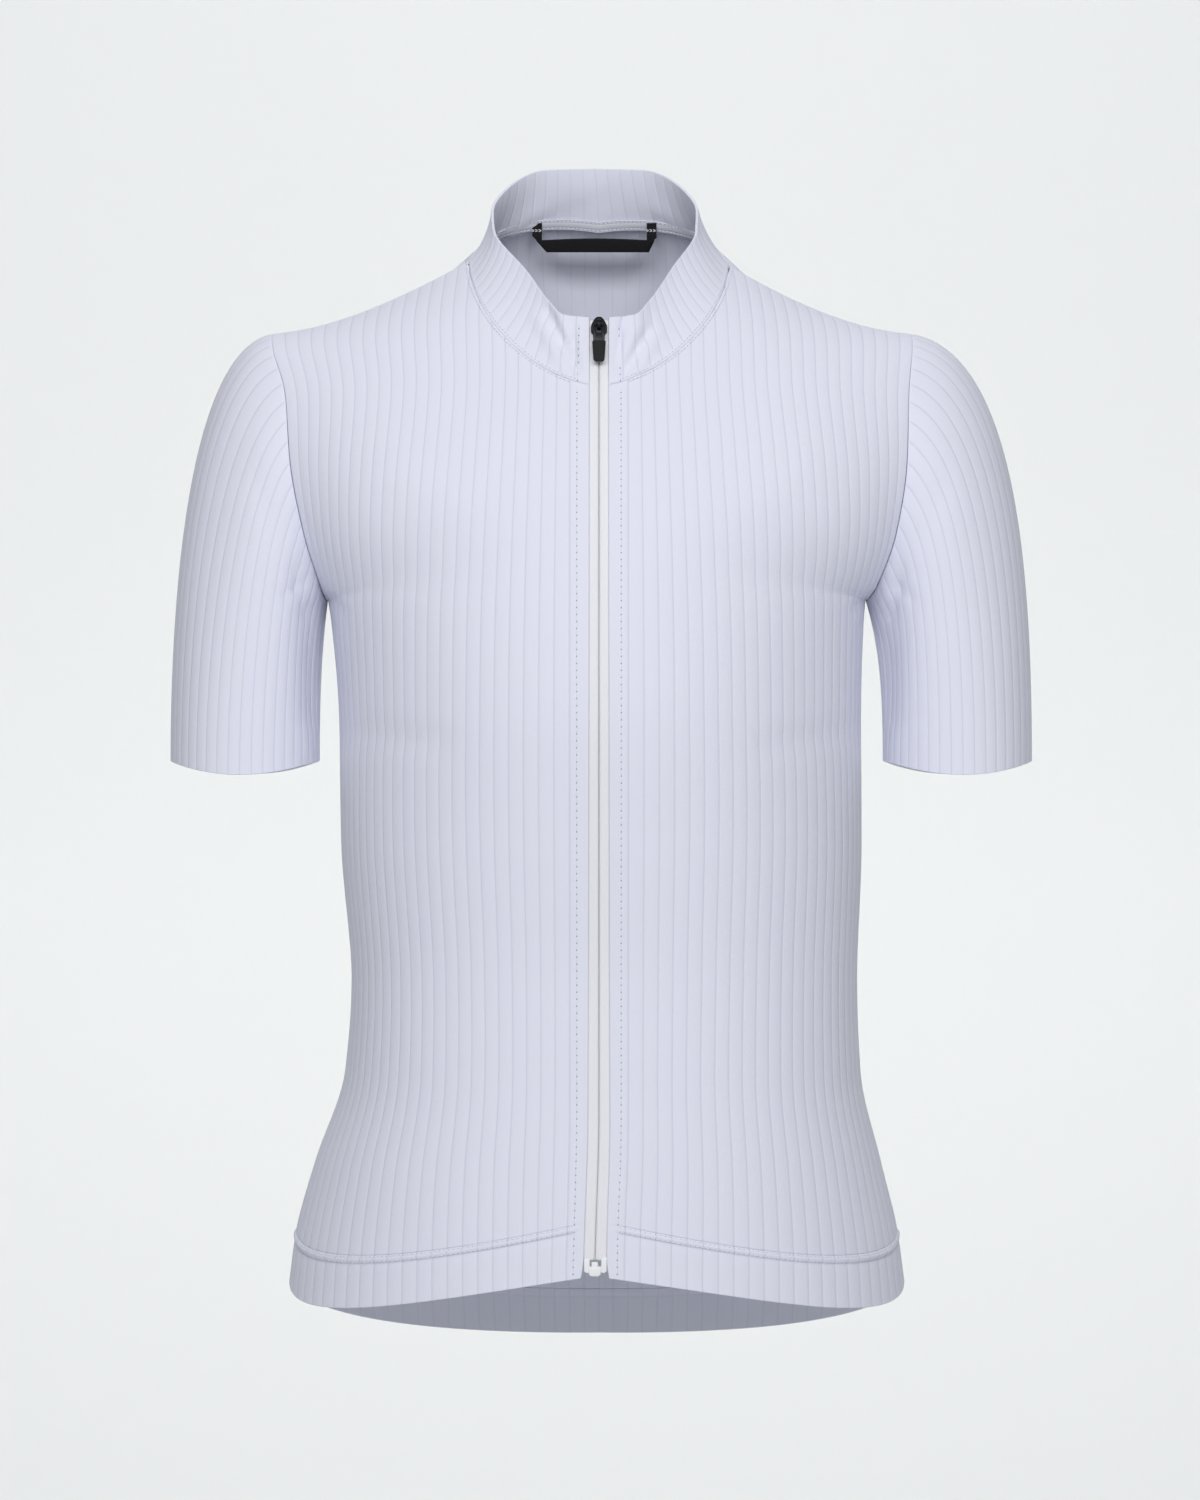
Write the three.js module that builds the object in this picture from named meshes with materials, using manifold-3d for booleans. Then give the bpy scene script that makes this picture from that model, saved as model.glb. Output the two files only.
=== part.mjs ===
// Women's short-sleeve cycling jersey in white rib knit, zipped to the collar and filled out with no wearer.
// Millimetres, +Z up. The front faces -Y, the wearer's left is +X, and the origin is the middle of the neck
// base between the shoulders, where the wearer holds the jersey up.
// Every cloth piece is a wall: its outer face carries the ribs and its inner face is plain.
import * as THREE from "three";
import Module from "manifold-3d";
import { mergeVertices } from "three/addons/utils/BufferGeometryUtils.js";

const wasm = await Module();
wasm.setup();

// Cloth
const wall = 1.4;
const seamGap = 0.3;
const ribHeight = 0.5;
const frontRibs = 23; // from the placket to the side seam
const backRibs = 24; // from the centre back to the side seam
const sleeveRibs = 40; // round a sleeve
const collarRibs = 29; // from the zip to the centre back

// Front edge at the zip
const slotTop = 5.3; // half the slot between the fronts
const slotBottom = 6.4;
const placket = 16; // plain strip beside the zip, from the centre line

// Torso
// A row is one level of the body, from the hem (row 0) to the shoulder ridge. edgeZ is the side seam's height,
// right and left are the half widths, front and back give the centre lines, turn is the way that the cloth
// points at its outer edge in degrees (90 is straight round the side), reach is the inner handle of the row's
// curve as a share of the half width, fall lowers that handle, the rises lift the outer one, handle is the outer
// one's length, and dip lowers the front's inner handle more.
const torso = table("edgeZ right left frontZ frontY backZ backY turn reach fall riseFront riseBack handle dip", [
  [-570, 173.5, 171.0, -557, -113, -612, 116, 90, 0.6, 1, -22, -27, 62, 14], // hem
  [-541, 169.5, 167.0, -527, -112, -586, 115, 90, 0.6, 1, -18, -27, 62, 21], // top of the hem band
  [-502, 158.5, 157.5, -494, -109, -534, 110, 90, 0.6, 0, -8, -14, 62, 7],
  [-452, 142.0, 146.3, -449, -105, -468, 100, 90, 0.6, 0, -2, -5, 62, 2],
  [-400, 138.5, 144.5, -400, -103, -404, 93, 90, 0.6, 0, 0, 0, 62, 0], // waist
  [-325, 144.3, 147.0, -325, -111, -325, 97, 90, 0.6, 0, 0, 0, 62, 0],
  [-252, 145.6, 146.7, -252, -119, -252, 107, 90, 0.6, 0, 0, 0, 62, 0], // fullest part of the chest
  [-189, 152.0, 149.5, -189, -112.5, -189, 112, 90, 0.6, 0, 0, 0, 62, 0], // foot of the armhole
  [-179, 156.0, 156.0, -163, -106.8, -158, 113, 74, 0.59, 0, 0, 0, 46, 0],
  [-152, 163.7, 164.7, -134, -98.3, -124, 112, 58, 0.57, 0, 1, 1, 52, 0],
  [-115, 170.4, 170.0, -103, -87, -86, 108, 38, 0.55, 1, 2, 2, 58, 0],
  [-77, 173.5, 171.4, -66, -68, -40, 98, 24, 0.5, 4, 4, 4, 62, 0],
  [-50, 181.5, 174.4, -16, -38, 18, 78, 12, 0.42, 14, 5, 5, 62, 0],
  [-40, 184.0, 175.5, 38, 8, 38, 8, 0, 0.33, 26, 5, 5, 62, 0], // shoulder ridge
]);
const bandRow = 1;
const pitRow = 7;
const ridgeRow = torso.length - 1;
const sideY = 6;
const ridgeY = 8;
const armholeFront = 52; // how far the armhole bows forward of the side seam
const armholeBack = 50;
const hemSpread = 0.15; // ribs stand this much closer at the centre of the hem than at its sides

// Neckline
const neckHalf = 73;
const neckDrop = 74; // front, below the shoulder points
const neckBack = 60; // back, behind the shoulder ridge
const neckRound = 1.7;
const backRound = 2.2;
const flare = { high: 15, reach: 20 };

// Collar, its top edge from the zip round to the centre back
const collarTop = table("x y z", [
  [5.3, -62, -36],
  [20, -60, -34],
  [28.5, -50, -25],
  [41, -31, -6],
  [57, -5, 17],
  [58, 15, 31],
  [49, 34, 46],
  [29, 51, 57],
  [0, 58, 58.5],
]);
const collarLean = -2.4; // its sides and back stand this far to the right of its front
const collarBow = 2.5; // how far the band hollows between its seam and its top edge

// Sleeves
const cuff = { right: 198.5, left: 201, y: 6, z: -279.5, halfWidth: 41.5, halfDepth: 49, dip: 7.5 };
const capOut = { right: 42, left: 52 }; // the sleeve's first handle at the shoulder tip
const pitOut = { right: 4, left: 9 };
const pitDown = 28;
const tipDown = 10;
const sleeveBow = 8;
const cuffHandle = { pit: 30, tip: 95 };

// Pocket panel on the lower back
const pocketRib = 18; // its half width, in ribs
const pocketTopRow = 3.35;
const pocketSlack = 1.1; // how far its top edge stands off

// Zip
const tape = { half: 14, thick: 0.8, gap: 0.25, spread: 2.6 };
const zipBox = { half: 5.6, height: 9.5, front: 0.6, back: 3.2, lift: 1.5 };
const sliderZ = -41;
const slider = { long: 10, wide: 9, top: 6, plate: 1.4, post: 1.6 };
const bridge = { half: 1.1, hole: 2.8, bar: 1.5, height: 2.8 };
const tab = { long: 21.5, wide: 6.7, end: 5.6, thick: 1.5, window: 5, arm: 1.55, pivot: 3.5 };

// Hang loop and neck tape at the inside back neck
const loop = { left: -35.3, right: 30, wide: 5.6, drop: 17, bar: 7.5, thick: 1, corner: 4, top: 4.4, lean: 3.4 };
const neckTape = { high: 5.8, thick: 0.6, left: 62, right: 60 };

// Small helpers

function table(names, rows) {
  const keys = names.split(" ");
  return rows.map((row) => Object.fromEntries(keys.map((key, i) => [key, row[i]])));
}

const mix = (a, b, t) => a + (b - a) * t;
const clamp = (x, low, high) => Math.min(high, Math.max(low, x));
const vec = (x, y, z) => new THREE.Vector3(x, y, z);

// A smooth curve through evenly numbered values that never overshoots them.
function curve(values) {
  const step = values.slice(1).map((value, i) => value - values[i]);
  const slope = values.map((_, i) => {
    if (i === 0) return step[0];
    if (i === values.length - 1) return step[i - 1];
    const product = step[i - 1] * step[i];
    return product > 0 ? (2 * product) / (step[i - 1] + step[i]) : 0;
  });
  return (at) => {
    const i = clamp(Math.floor(at), 0, values.length - 2);
    const t = at - i;
    const u = 1 - t;
    return (
      u * u * (1 + 2 * t) * values[i] + t * t * (3 - 2 * t) * values[i + 1] +
      t * u * u * slope[i] - t * t * u * slope[i + 1]
    );
  };
}

function curves(rows) {
  return Object.fromEntries(Object.keys(rows[0]).map((key) => [key, curve(rows.map((row) => row[key]))]));
}

function bezier(p, t) {
  const u = 1 - t;
  return vec(0, 0, 0)
    .addScaledVector(p[0], u * u * u)
    .addScaledVector(p[1], 3 * u * u * t)
    .addScaledVector(p[2], 3 * u * t * t)
    .addScaledVector(p[3], t * t * t);
}

// The first place between low and high where test turns from true to false.
function bisect(test, low, high) {
  for (let i = 0; i < 40; i += 1) {
    const middle = (low + high) / 2;
    if (test(middle)) low = middle;
    else high = middle;
  }
  return (low + high) / 2;
}

const range = (from, to, step) => {
  const count = Math.max(1, Math.round(Math.abs(to - from) / step));
  return Array.from({ length: count + 1 }, (_, i) => from + ((to - from) * i) / count);
};

// Torso surface
const body = curves(torso);
const FRONT = -1;
const BACK = 1;
const RIGHT = -1;
const LEFT = 1;

// The armhole and the side seam below it.
function edge(face, side, row) {
  const half = (side === RIGHT ? body.right : body.left)(row);
  if (row <= pitRow) return vec(side * half, sideY, body.edgeZ(row));
  const share = (row - pitRow) / (ridgeRow - pitRow);
  const angle = share * Math.PI;
  const bow = face === FRONT ? armholeFront : armholeBack;
  const y = mix(sideY, ridgeY, share) + face * bow * Math.sin(angle);
  const z = mix(torso[pitRow].edgeZ, torso[ridgeRow].edgeZ, (1 - Math.cos(angle)) / 2);
  return vec(side * half, y, z);
}

// Rows leave the foot of the armhole slowly, so that the panel has no crease there.
function eased(row) {
  const away = row - pitRow;
  const t = Math.abs(away);
  return t < 1 ? pitRow + Math.sign(away) * t * t * (2 - t) : row;
}

const rowCache = new Map();

// One row from the centre plane to its outer edge, with its length.
function rowCurve(face, side, row) {
  const key = `${face} ${side} ${row.toFixed(5)}`;
  if (rowCache.has(key)) return rowCache.get(key);
  const outer = edge(face, side, eased(row));
  const turn = THREE.MathUtils.degToRad(body.turn(row));
  const y = (face === FRONT ? body.frontY : body.backY)(row);
  const z = (face === FRONT ? body.frontZ : body.backZ)(row);
  const rise = (face === FRONT ? body.riseFront : body.riseBack)(row);
  const way = vec(side * Math.cos(turn), -face * Math.sin(turn), 0);
  const points = [
    vec(0, y, z),
    vec(body.reach(row) * outer.x, y, z - body.fall(row) - (face === FRONT ? body.dip(row) : 0)),
    outer.clone().addScaledVector(way, -body.handle(row)).add(vec(0, 0, rise)),
    outer,
  ];
  const steps = 40;
  const lengths = [0];
  let last = points[0];
  for (let i = 1; i <= steps; i += 1) {
    const next = bezier(points, i / steps);
    lengths.push(lengths[i - 1] + next.distanceTo(last));
    last = next;
  }
  const found = { points, lengths, steps, total: lengths[steps] };
  rowCache.set(key, found);
  return found;
}

function alongRow(found, length) {
  const s = clamp(length, 0, found.total);
  let i = 1;
  while (i < found.steps && found.lengths[i] < s) i += 1;
  const part = (s - found.lengths[i - 1]) / (found.lengths[i] - found.lengths[i - 1]);
  return bezier(found.points, (i - 1 + part) / found.steps);
}

// How far out along its row a rib lies.
function ribLength(face, rib, row, total) {
  const inner = face === FRONT ? placket : 0;
  if (face === FRONT && rib < 0) return mix(placket, slot(row), -rib);
  const share = rib / (face === FRONT ? frontRibs : backRibs);
  const spread = hemSpread * clamp(1 - row / (pitRow - 3), 0, 1);
  return inner + (total - inner) * (share - spread * share * (1 - share) + ribShift(face, share, row, total - inner));
}

// Beside the armhole the ribs keep to a smooth course, and give way to its edge only near it. The spans say how
// far the ribs would reach along rows 5 to 11 on that course.
const ribSpan = {
  [FRONT]: curve([206.5, 208, 202, 197, 189.5, 183, 178.3]),
  [BACK]: curve([191.6, 195, 196.5, 194, 190.5, 187, 186.4]),
};
function ribShift(face, share, row, reach) {
  const at = row - 5;
  if (at <= 0 || at >= 6) return 0;
  const inner = face === FRONT ? placket : 0;
  const shift = ((ribSpan[face](at) - inner) / reach - 1) * Math.min(1, at, 6 - at);
  return shift * share * (1 - share ** 6);
}

function slot(row) {
  return mix(slotBottom, slotTop, clamp(row / pitRow, 0, 1));
}

// A point of the torso by face, side, rib and row. The fronts stand half a seam gap forward, the back behind.
function torsoPoint(face, side, rib, row) {
  const found = rowCurve(face, side, row);
  const point = alongRow(found, ribLength(face, rib, row, found.total));
  point.z += neckFlare(face, point);
  point.y += (face * seamGap) / 2;
  return point;
}

// The back rises at both sides of the neck, so that its neckline is level from side to side.
function neckFlare(face, point) {
  if (face === FRONT || point.y < ridgeY || point.z < -neckDrop) return 0;
  const x = Math.abs(point.x) / neckHalf;
  const y = (point.y - ridgeY) / neckBack;
  const ring = (x ** backRound + y ** backRound) ** (1 / backRound);
  const across = x / Math.max(ring, 1e-6);
  const away = ((ring - 1) * neckHalf) / flare.reach;
  return flare.high * (1 - (1 - across) ** 2) * (1 - across ** 12) * Math.exp(-away * away);
}

function normalOf(point, a, b, da, db, sign) {
  const ahead = point(a + da, b).sub(point(a - da, b));
  const up = point(a, b + db).sub(point(a, b - db));
  return ahead.cross(up).normalize().multiplyScalar(sign);
}

// Neckline

function insideNeck(face, point) {
  const x = Math.abs(point.x) / neckHalf;
  if (x >= 1) return false;
  if (face === BACK) {
    const y = (point.y - ridgeY) / neckBack;
    return y <= 0 || x ** backRound + y ** backRound < 1;
  }
  const z = -point.z / neckDrop;
  return z <= 0 || x ** neckRound + z ** neckRound < 1;
}

function neckRib(face, side, row) {
  const first = face === FRONT ? -1 : 0;
  const last = face === FRONT ? frontRibs : backRibs;
  if (!insideNeck(face, torsoPoint(face, side, first, row))) return first;
  return bisect((rib) => insideNeck(face, torsoPoint(face, side, rib, row)), first, last);
}

function neckRow(face, side, rib) {
  const outside = (row) => !insideNeck(face, torsoPoint(face, side, rib, row));
  if (outside(ridgeRow)) return ridgeRow;
  return bisect(outside, pitRow, ridgeRow);
}

// Cloth solids

// Triangles between two chains of points that climb side by side.
function zipChains(left, right, faces) {
  let i = 0;
  let j = 0;
  while (i < left.length - 1 || j < right.length - 1) {
    const leftNext = i < left.length - 1 ? left[i + 1].row : Infinity;
    const rightNext = j < right.length - 1 ? right[j + 1].row : Infinity;
    if (leftNext < rightNext || (leftNext === rightNext && left[i].row <= right[j].row)) {
      faces.push([left[i], right[j], left[i + 1]]);
      i += 1;
    } else {
      faces.push([left[i], right[j], right[j + 1]]);
      j += 1;
    }
  }
}

// A wall of cloth. outerColumns are the lines that carry the ribs, every plainStep-th of them is on the inner
// face too, rows are the levels across, top gives the row where a column ends, corners are more points of the
// top edge, and a ring joins its last column to its first.
function clothSolid({ outerColumns, plainStep, rows, top, corners = [], ring = false, outer, inner }) {
  const lastRow = rows[rows.length - 1];
  const endRow = top ?? (() => lastRow);
  const firstColumn = outerColumns[0];
  const lastColumn = outerColumns[outerColumns.length - 1];
  const innerColumns = outerColumns.filter((_, i) => i % plainStep === 0 || i === outerColumns.length - 1);
  const rowStep = (lastRow - rows[0]) / (rows.length - 1);
  const node = (column, row) => ({ column, row });
  const topEdge = [...new Set([...outerColumns, ...corners])]
    .sort((a, b) => a - b)
    .map((column) => node(column, endRow(column)));
  const column = (at) => {
    const end = endRow(at);
    return [...rows.filter((row) => row < end - 0.1 * rowStep).map((row) => node(at, row)), node(at, end)];
  };
  const layer = (columns) => {
    const faces = [];
    for (let i = 0; i + 1 < columns.length; i += 1) {
      const [from, to] = [columns[i], columns[i + 1]];
      const foot = outerColumns.filter((at) => at > from && at < to).map((at) => node(at, rows[0]));
      const head = topEdge.filter((point) => point.column > from && point.column < to);
      const left = column(from);
      const right = [...foot, ...column(to)];
      if (endRow(from) < endRow(to)) left.push(...head);
      else right.push(...head.reverse());
      zipChains(left, right, faces);
    }
    return faces;
  };
  const sides = ring ? [[], []] : [column(lastColumn).slice(1, -1), column(firstColumn).slice(1, -1)];
  const foot = outerColumns.map((at) => node(at, rows[0]));
  const loops = ring
    ? [foot, topEdge.slice().reverse()]
    : [[...foot, ...sides[0], ...topEdge.slice().reverse(), ...sides[1].reverse(), foot[0]]];
  const positions = [];
  const index = new Map();
  const place = (point, isOuter) => {
    const at = ring && point.column === lastColumn ? firstColumn : point.column;
    const key = `${isOuter} ${at.toFixed(5)} ${point.row.toFixed(5)}`;
    if (!index.has(key)) {
      index.set(key, positions.length / 3);
      positions.push(...(isOuter ? outer : inner)(at, point.row).toArray());
    }
    return index.get(key);
  };
  const triangles = [];
  for (const [a, b, c] of layer(outerColumns)) triangles.push(place(a, true), place(b, true), place(c, true));
  for (const [a, b, c] of layer(innerColumns)) triangles.push(place(c, false), place(b, false), place(a, false));
  for (const loop of loops) {
    for (let i = 0; i + 1 < loop.length; i += 1) {
      const [p, q] = [loop[i], loop[i + 1]];
      triangles.push(place(q, true), place(p, true), place(p, false));
      triangles.push(place(q, true), place(p, false), place(q, false));
    }
  }
  return outwards(positions, triangles);
}

function outwards(positions, triangles) {
  const corner = (i) => vec(positions[3 * i], positions[3 * i + 1], positions[3 * i + 2]);
  let volume = 0;
  for (let i = 0; i < triangles.length; i += 3) {
    const [a, b, c] = [corner(triangles[i]), corner(triangles[i + 1]), corner(triangles[i + 2])];
    volume += a.dot(b.cross(c));
  }
  if (volume < 0) triangles.reverse();
  const geometry = new THREE.BufferGeometry();
  geometry.setAttribute("position", new THREE.Float32BufferAttribute(positions, 3));
  geometry.setIndex(triangles);
  return geometry;
}

// Height of the rib pattern: a furrow at each whole number and a crest between.
function ribRelief(rib) {
  const part = rib - Math.floor(rib);
  return ribHeight * (1 - Math.abs(2 * part - 1));
}

// The normal where the fronts and the back meet is the mean of both, so that their edges stand parallel.
function torsoNormal(face, side, rib, row) {
  const ribs = face === FRONT ? frontRibs : backRibs;
  const atSeam = row > ridgeRow - 1e-6 || (rib > ribs - 1e-6 && row <= pitRow + 1e-6);
  const sign = face * side;
  const point = (f) => (a, b) => torsoPoint(f, side, a, clamp(b, 0, ridgeRow));
  const own = normalOf(point(face), Math.min(rib, ribs - 0.05), row, 0.05, 0.02, -sign);
  if (!atSeam) return own;
  const shared = rib > ribs - 1e-6 ? (face === FRONT ? backRibs : frontRibs) : rib;
  const other = normalOf(point(-face), Math.min(shared, 22.9), row, 0.05, 0.02, sign);
  return own.add(other).normalize();
}

// Ribs flatten into the side seam and the armhole, and there are none on the placket.
function torsoRelief(face, rib) {
  const ribs = face === FRONT ? frontRibs : backRibs;
  return rib <= 0 && face === FRONT ? 0 : ribRelief(rib) * clamp((ribs - rib) / 0.4, 0, 1);
}

// They flatten into the neckline too.
function torsoOuter(face, side, rib, row) {
  const end = neckRow(face, side, rib);
  const fade = end < ridgeRow - 1e-6 ? clamp((end - row) / 0.3, 0, 1) : 1;
  const relief = torsoRelief(face, rib) * fade;
  return torsoPoint(face, side, rib, row).addScaledVector(torsoNormal(face, side, rib, row), relief);
}

function torsoInner(face, side, rib, row, depth = wall) {
  return torsoPoint(face, side, rib, row).addScaledVector(torsoNormal(face, side, rib, row), -depth);
}

const panelRows = [
  ...range(bandRow, pitRow, 1),
  pocketTopRow,
  ...range(pitRow, ridgeRow, 0.75).slice(1),
].sort((a, b) => a - b);

function liftedBy(lift, row, atRow, point) {
  if (Math.abs(row - atRow) < 1e-6) point.z += lift;
  return point;
}

function frontPanel(side) {
  const columns = [-1, -0.5, ...range(0, frontRibs, 0.5)];
  const corners = panelRows.filter((row) => row < ridgeRow).map((row) => neckRib(FRONT, side, row));
  return clothSolid({
    outerColumns: columns,
    plainStep: 4,
    rows: panelRows,
    top: (rib) => neckRow(FRONT, side, rib),
    corners: corners.filter((rib) => rib > -1),
    outer: (rib, row) => liftedBy(seamGap / 2, row, bandRow, torsoOuter(FRONT, side, rib, row)),
    inner: (rib, row) => liftedBy(seamGap / 2, row, bandRow, torsoInner(FRONT, side, rib, row)),
  });
}

const sideOf = (rib) => (rib < 0 ? RIGHT : LEFT);

function backPanel() {
  const half = panelRows.filter((row) => row < ridgeRow);
  const corners = [RIGHT, LEFT].flatMap((side) => half.map((row) => side * neckRib(BACK, side, row)));
  const at = (make) => (rib, row) =>
    liftedBy(seamGap / 2, row, bandRow, make(BACK, sideOf(rib), Math.abs(rib), row));
  return clothSolid({
    outerColumns: range(-backRibs, backRibs, 0.5),
    plainStep: 4,
    rows: panelRows,
    top: (rib) => neckRow(BACK, sideOf(rib), Math.abs(rib)),
    corners: corners.filter((rib) => rib !== 0),
    outer: at(torsoOuter),
    inner: at(torsoInner),
  });
}

function hemBand(face, side) {
  const isBack = face === BACK;
  const at = (make) => (rib, row) => {
    const point = isBack ? make(face, sideOf(rib), Math.abs(rib), row) : make(face, side, rib, row);
    return liftedBy(-seamGap / 2, row, bandRow, point);
  };
  return clothSolid({
    outerColumns: isBack ? range(-backRibs, backRibs, 0.5) : [-1, ...range(0, frontRibs, 0.5)],
    plainStep: 4,
    rows: [0, bandRow],
    outer: at(torsoOuter),
    inner: at(torsoInner),
  });
}

// Made from the back panel's points, moved out past the ribs.
function pocketPanel() {
  const rows = panelRows.filter((row) => row <= pocketTopRow);
  const standOff = (row) =>
    ribHeight + seamGap + pocketSlack * ((row - bandRow) / (pocketTopRow - bandRow)) ** 2;
  const place = (rib, row, out) => {
    const [side, at] = [sideOf(rib), Math.abs(rib)];
    const lift = row === bandRow ? seamGap : 0;
    const point = torsoPoint(BACK, side, at, row);
    return point.addScaledVector(torsoNormal(BACK, side, at, row), out).add(vec(0, 0, lift));
  };
  return clothSolid({
    outerColumns: range(-pocketRib, pocketRib, 0.5),
    plainStep: 2,
    rows,
    outer: (rib, row) => place(rib, row, standOff(row) + wall + ribRelief(rib)),
    inner: (rib, row) => place(rib, row, standOff(row)),
  });
}

// Sleeves

const armholeRows = panelRows.map(eased);

// The armhole as the panels have it, straight from each of their rows to the next.
function armholeSeam(face, side, row) {
  const next = clamp(armholeRows.findIndex((at) => at >= row - 1e-9), 1, armholeRows.length - 1);
  const [below, above] = [armholeRows[next - 1], armholeRows[next]];
  return edge(face, side, below).lerp(edge(face, side, above), (row - below) / (above - below));
}

// turn runs once round the sleeve from the armpit over the front to the shoulder tip and down the back.
function sleevePath(side, turn) {
  const angle = turn * 2 * Math.PI;
  const face = turn <= 0.5 ? FRONT : BACK;
  const name = side === RIGHT ? "right" : "left";
  const row = mix(pitRow, ridgeRow, 1 - Math.abs(2 * turn - 1));
  const high = (1 - Math.cos(angle)) / 2;
  const start = armholeSeam(face, side, row);
  const end = vec(
    side * (cuff[name] - cuff.halfWidth * Math.cos(angle)),
    cuff.y - cuff.halfDepth * Math.sin(angle),
    cuff.z - cuff.dip * Math.sin(angle) ** 2,
  );
  const out = pitOut[name] + capOut[name] * high ** 1.5;
  const down = pitDown + (tipDown - pitDown) * high * high;
  const handle = mix(cuffHandle.pit, cuffHandle.tip, high);
  return [
    start,
    start.clone().add(vec(side * out, -sleeveBow * Math.sin(angle), -down)),
    end.clone().add(vec(0, 0, handle)),
    end,
  ];
}

// level runs from 0 at the cuff to 1 at the armhole. The seam gap lies along the path at the armhole, and the
// sleeve hangs clear of the side's ribs under the arm.
function sleevePoint(side, turn, level) {
  const path = sleevePath(side, turn - Math.floor(turn));
  const low = (1 + Math.cos(turn * 2 * Math.PI)) / 2;
  const length = path[0].distanceTo(path[1]) * 3;
  const start = (seamGap + 0.1) / length;
  const point = bezier(path, mix(1, start, level));
  point.x += side * (seamGap + 2 * ribHeight) * low * level ** 3;
  return point;
}

function sleeve(side) {
  const point = (turn, level) => sleevePoint(side, turn, clamp(level, 0, 1));
  const normal = (turn, level) => normalOf(point, turn, level, 0.004, 0.01, side);
  const relief = (turn, level) => ribRelief(turn * sleeveRibs) * clamp((1 - level) / 0.05, 0, 1);
  return clothSolid({
    outerColumns: range(0, 1, 0.5 / sleeveRibs),
    plainStep: 4,
    rows: [0, 0.14, 0.3, 0.48, 0.64, 0.78, 0.9, 1],
    ring: true,
    outer: (turn, level) => point(turn, level).addScaledVector(normal(turn, level), relief(turn, level)),
    inner: (turn, level) => point(turn, level).addScaledVector(normal(turn, level), -wall),
  });
}

// Collar

function byLength(points) {
  const lengths = [0];
  for (let i = 1; i < points.length; i += 1) lengths.push(lengths[i - 1] + points[i].distanceTo(points[i - 1]));
  const total = lengths[points.length - 1];
  const at = (share) => {
    const s = clamp(share, 0, 1) * total;
    let i = 1;
    while (i < points.length - 1 && lengths[i] < s) i += 1;
    const part = (s - lengths[i - 1]) / (lengths[i] - lengths[i - 1]);
    return points[i - 1].clone().lerp(points[i], part);
  };
  return { at, total };
}

// The neckline of one side, from the zip over the shoulder to the centre back.
function neckline(side) {
  const points = [];
  const zipEdgeRow = neckRow(FRONT, side, -1);
  for (const row of range(zipEdgeRow, ridgeRow, 0.1)) {
    points.push(torsoPoint(FRONT, side, neckRib(FRONT, side, row), row));
  }
  const last = neckRib(BACK, side, ridgeRow);
  for (const rib of range(last, 0, 0.4).slice(1)) {
    points.push(torsoPoint(BACK, side, rib, neckRow(BACK, side, rib)));
  }
  return byLength(points);
}

const topCurve = curves(collarTop);
const topEdge = byLength(
  range(0, collarTop.length - 1, 0.25).map((i) => vec(topCurve.x(i), topCurve.y(i), topCurve.z(i))),
);
const necks = { [RIGHT]: neckline(RIGHT), [LEFT]: neckline(LEFT) };

// share runs from -1 at the right side of the zip over the back (0) to 1 at its left side.
function collarPoint(share, level) {
  const side = sideOf(share);
  const along = 1 - Math.abs(share);
  const base = necks[side].at(along);
  const head = topEdge.at(along);
  head.x = head.x * side + collarLean * clamp(along * 4 - 1, 0, 1);
  const way = head.clone().sub(base);
  base.addScaledVector(way.clone().normalize(), seamGap);
  const centre = vec(0, 0, base.z);
  const inward = centre.sub(base).setZ(0).normalize();
  return base.lerp(head, level).addScaledVector(inward, collarBow * 4 * level * (1 - level) * clamp(along * 4, 0, 1));
}

function collarNormal(share, level) {
  const at = Math.abs(share) < 0.01 ? 0.01 : share;
  return normalOf(collarPoint, clamp(at, -0.995, 0.995), clamp(level, 0.02, 0.98), 0.004, 0.02, -1);
}

function collarAt(share, level, out) {
  return collarPoint(share, level).addScaledVector(collarNormal(share, level), out);
}

const collarColumns = range(-1, 1, 0.5 / collarRibs);
const plainRibs = 4; // a column of the plain inner face for every so many of the outer face

function collar() {
  return clothSolid({
    outerColumns: collarColumns,
    plainStep: plainRibs,
    rows: [0, 0.33, 0.67, 1],
    outer: (share, level) => collarAt(share, level, ribRelief(share * collarRibs) * (level < 0.01 ? 0 : 1)),
    inner: (share, level) => collarAt(share, level, -wall),
  });
}

// How far round the neckline, from the zip, the back of the neck is x away from the centre.
function backNeckShare(side, x) {
  return bisect((at) => Math.abs(necks[side].at(at).x) > x, 0.5, 1);
}

function neckTapePiece() {
  const from = backNeckShare(RIGHT, neckTape.left) - 1;
  const to = 1 - backNeckShare(LEFT, neckTape.right);
  const bandHeight = collarPoint(0, 0).distanceTo(collarPoint(0, 1));
  return clothSolid({
    outerColumns: collarColumns.filter((at, i) => i % plainRibs === 0 && at > from && at < to),
    plainStep: 1,
    rows: [0, neckTape.high / bandHeight],
    outer: (at, up) => collarAt(at, up, -wall - seamGap),
    inner: (at, up) => collarAt(at, up, -wall - seamGap - neckTape.thick),
  });
}

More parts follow.
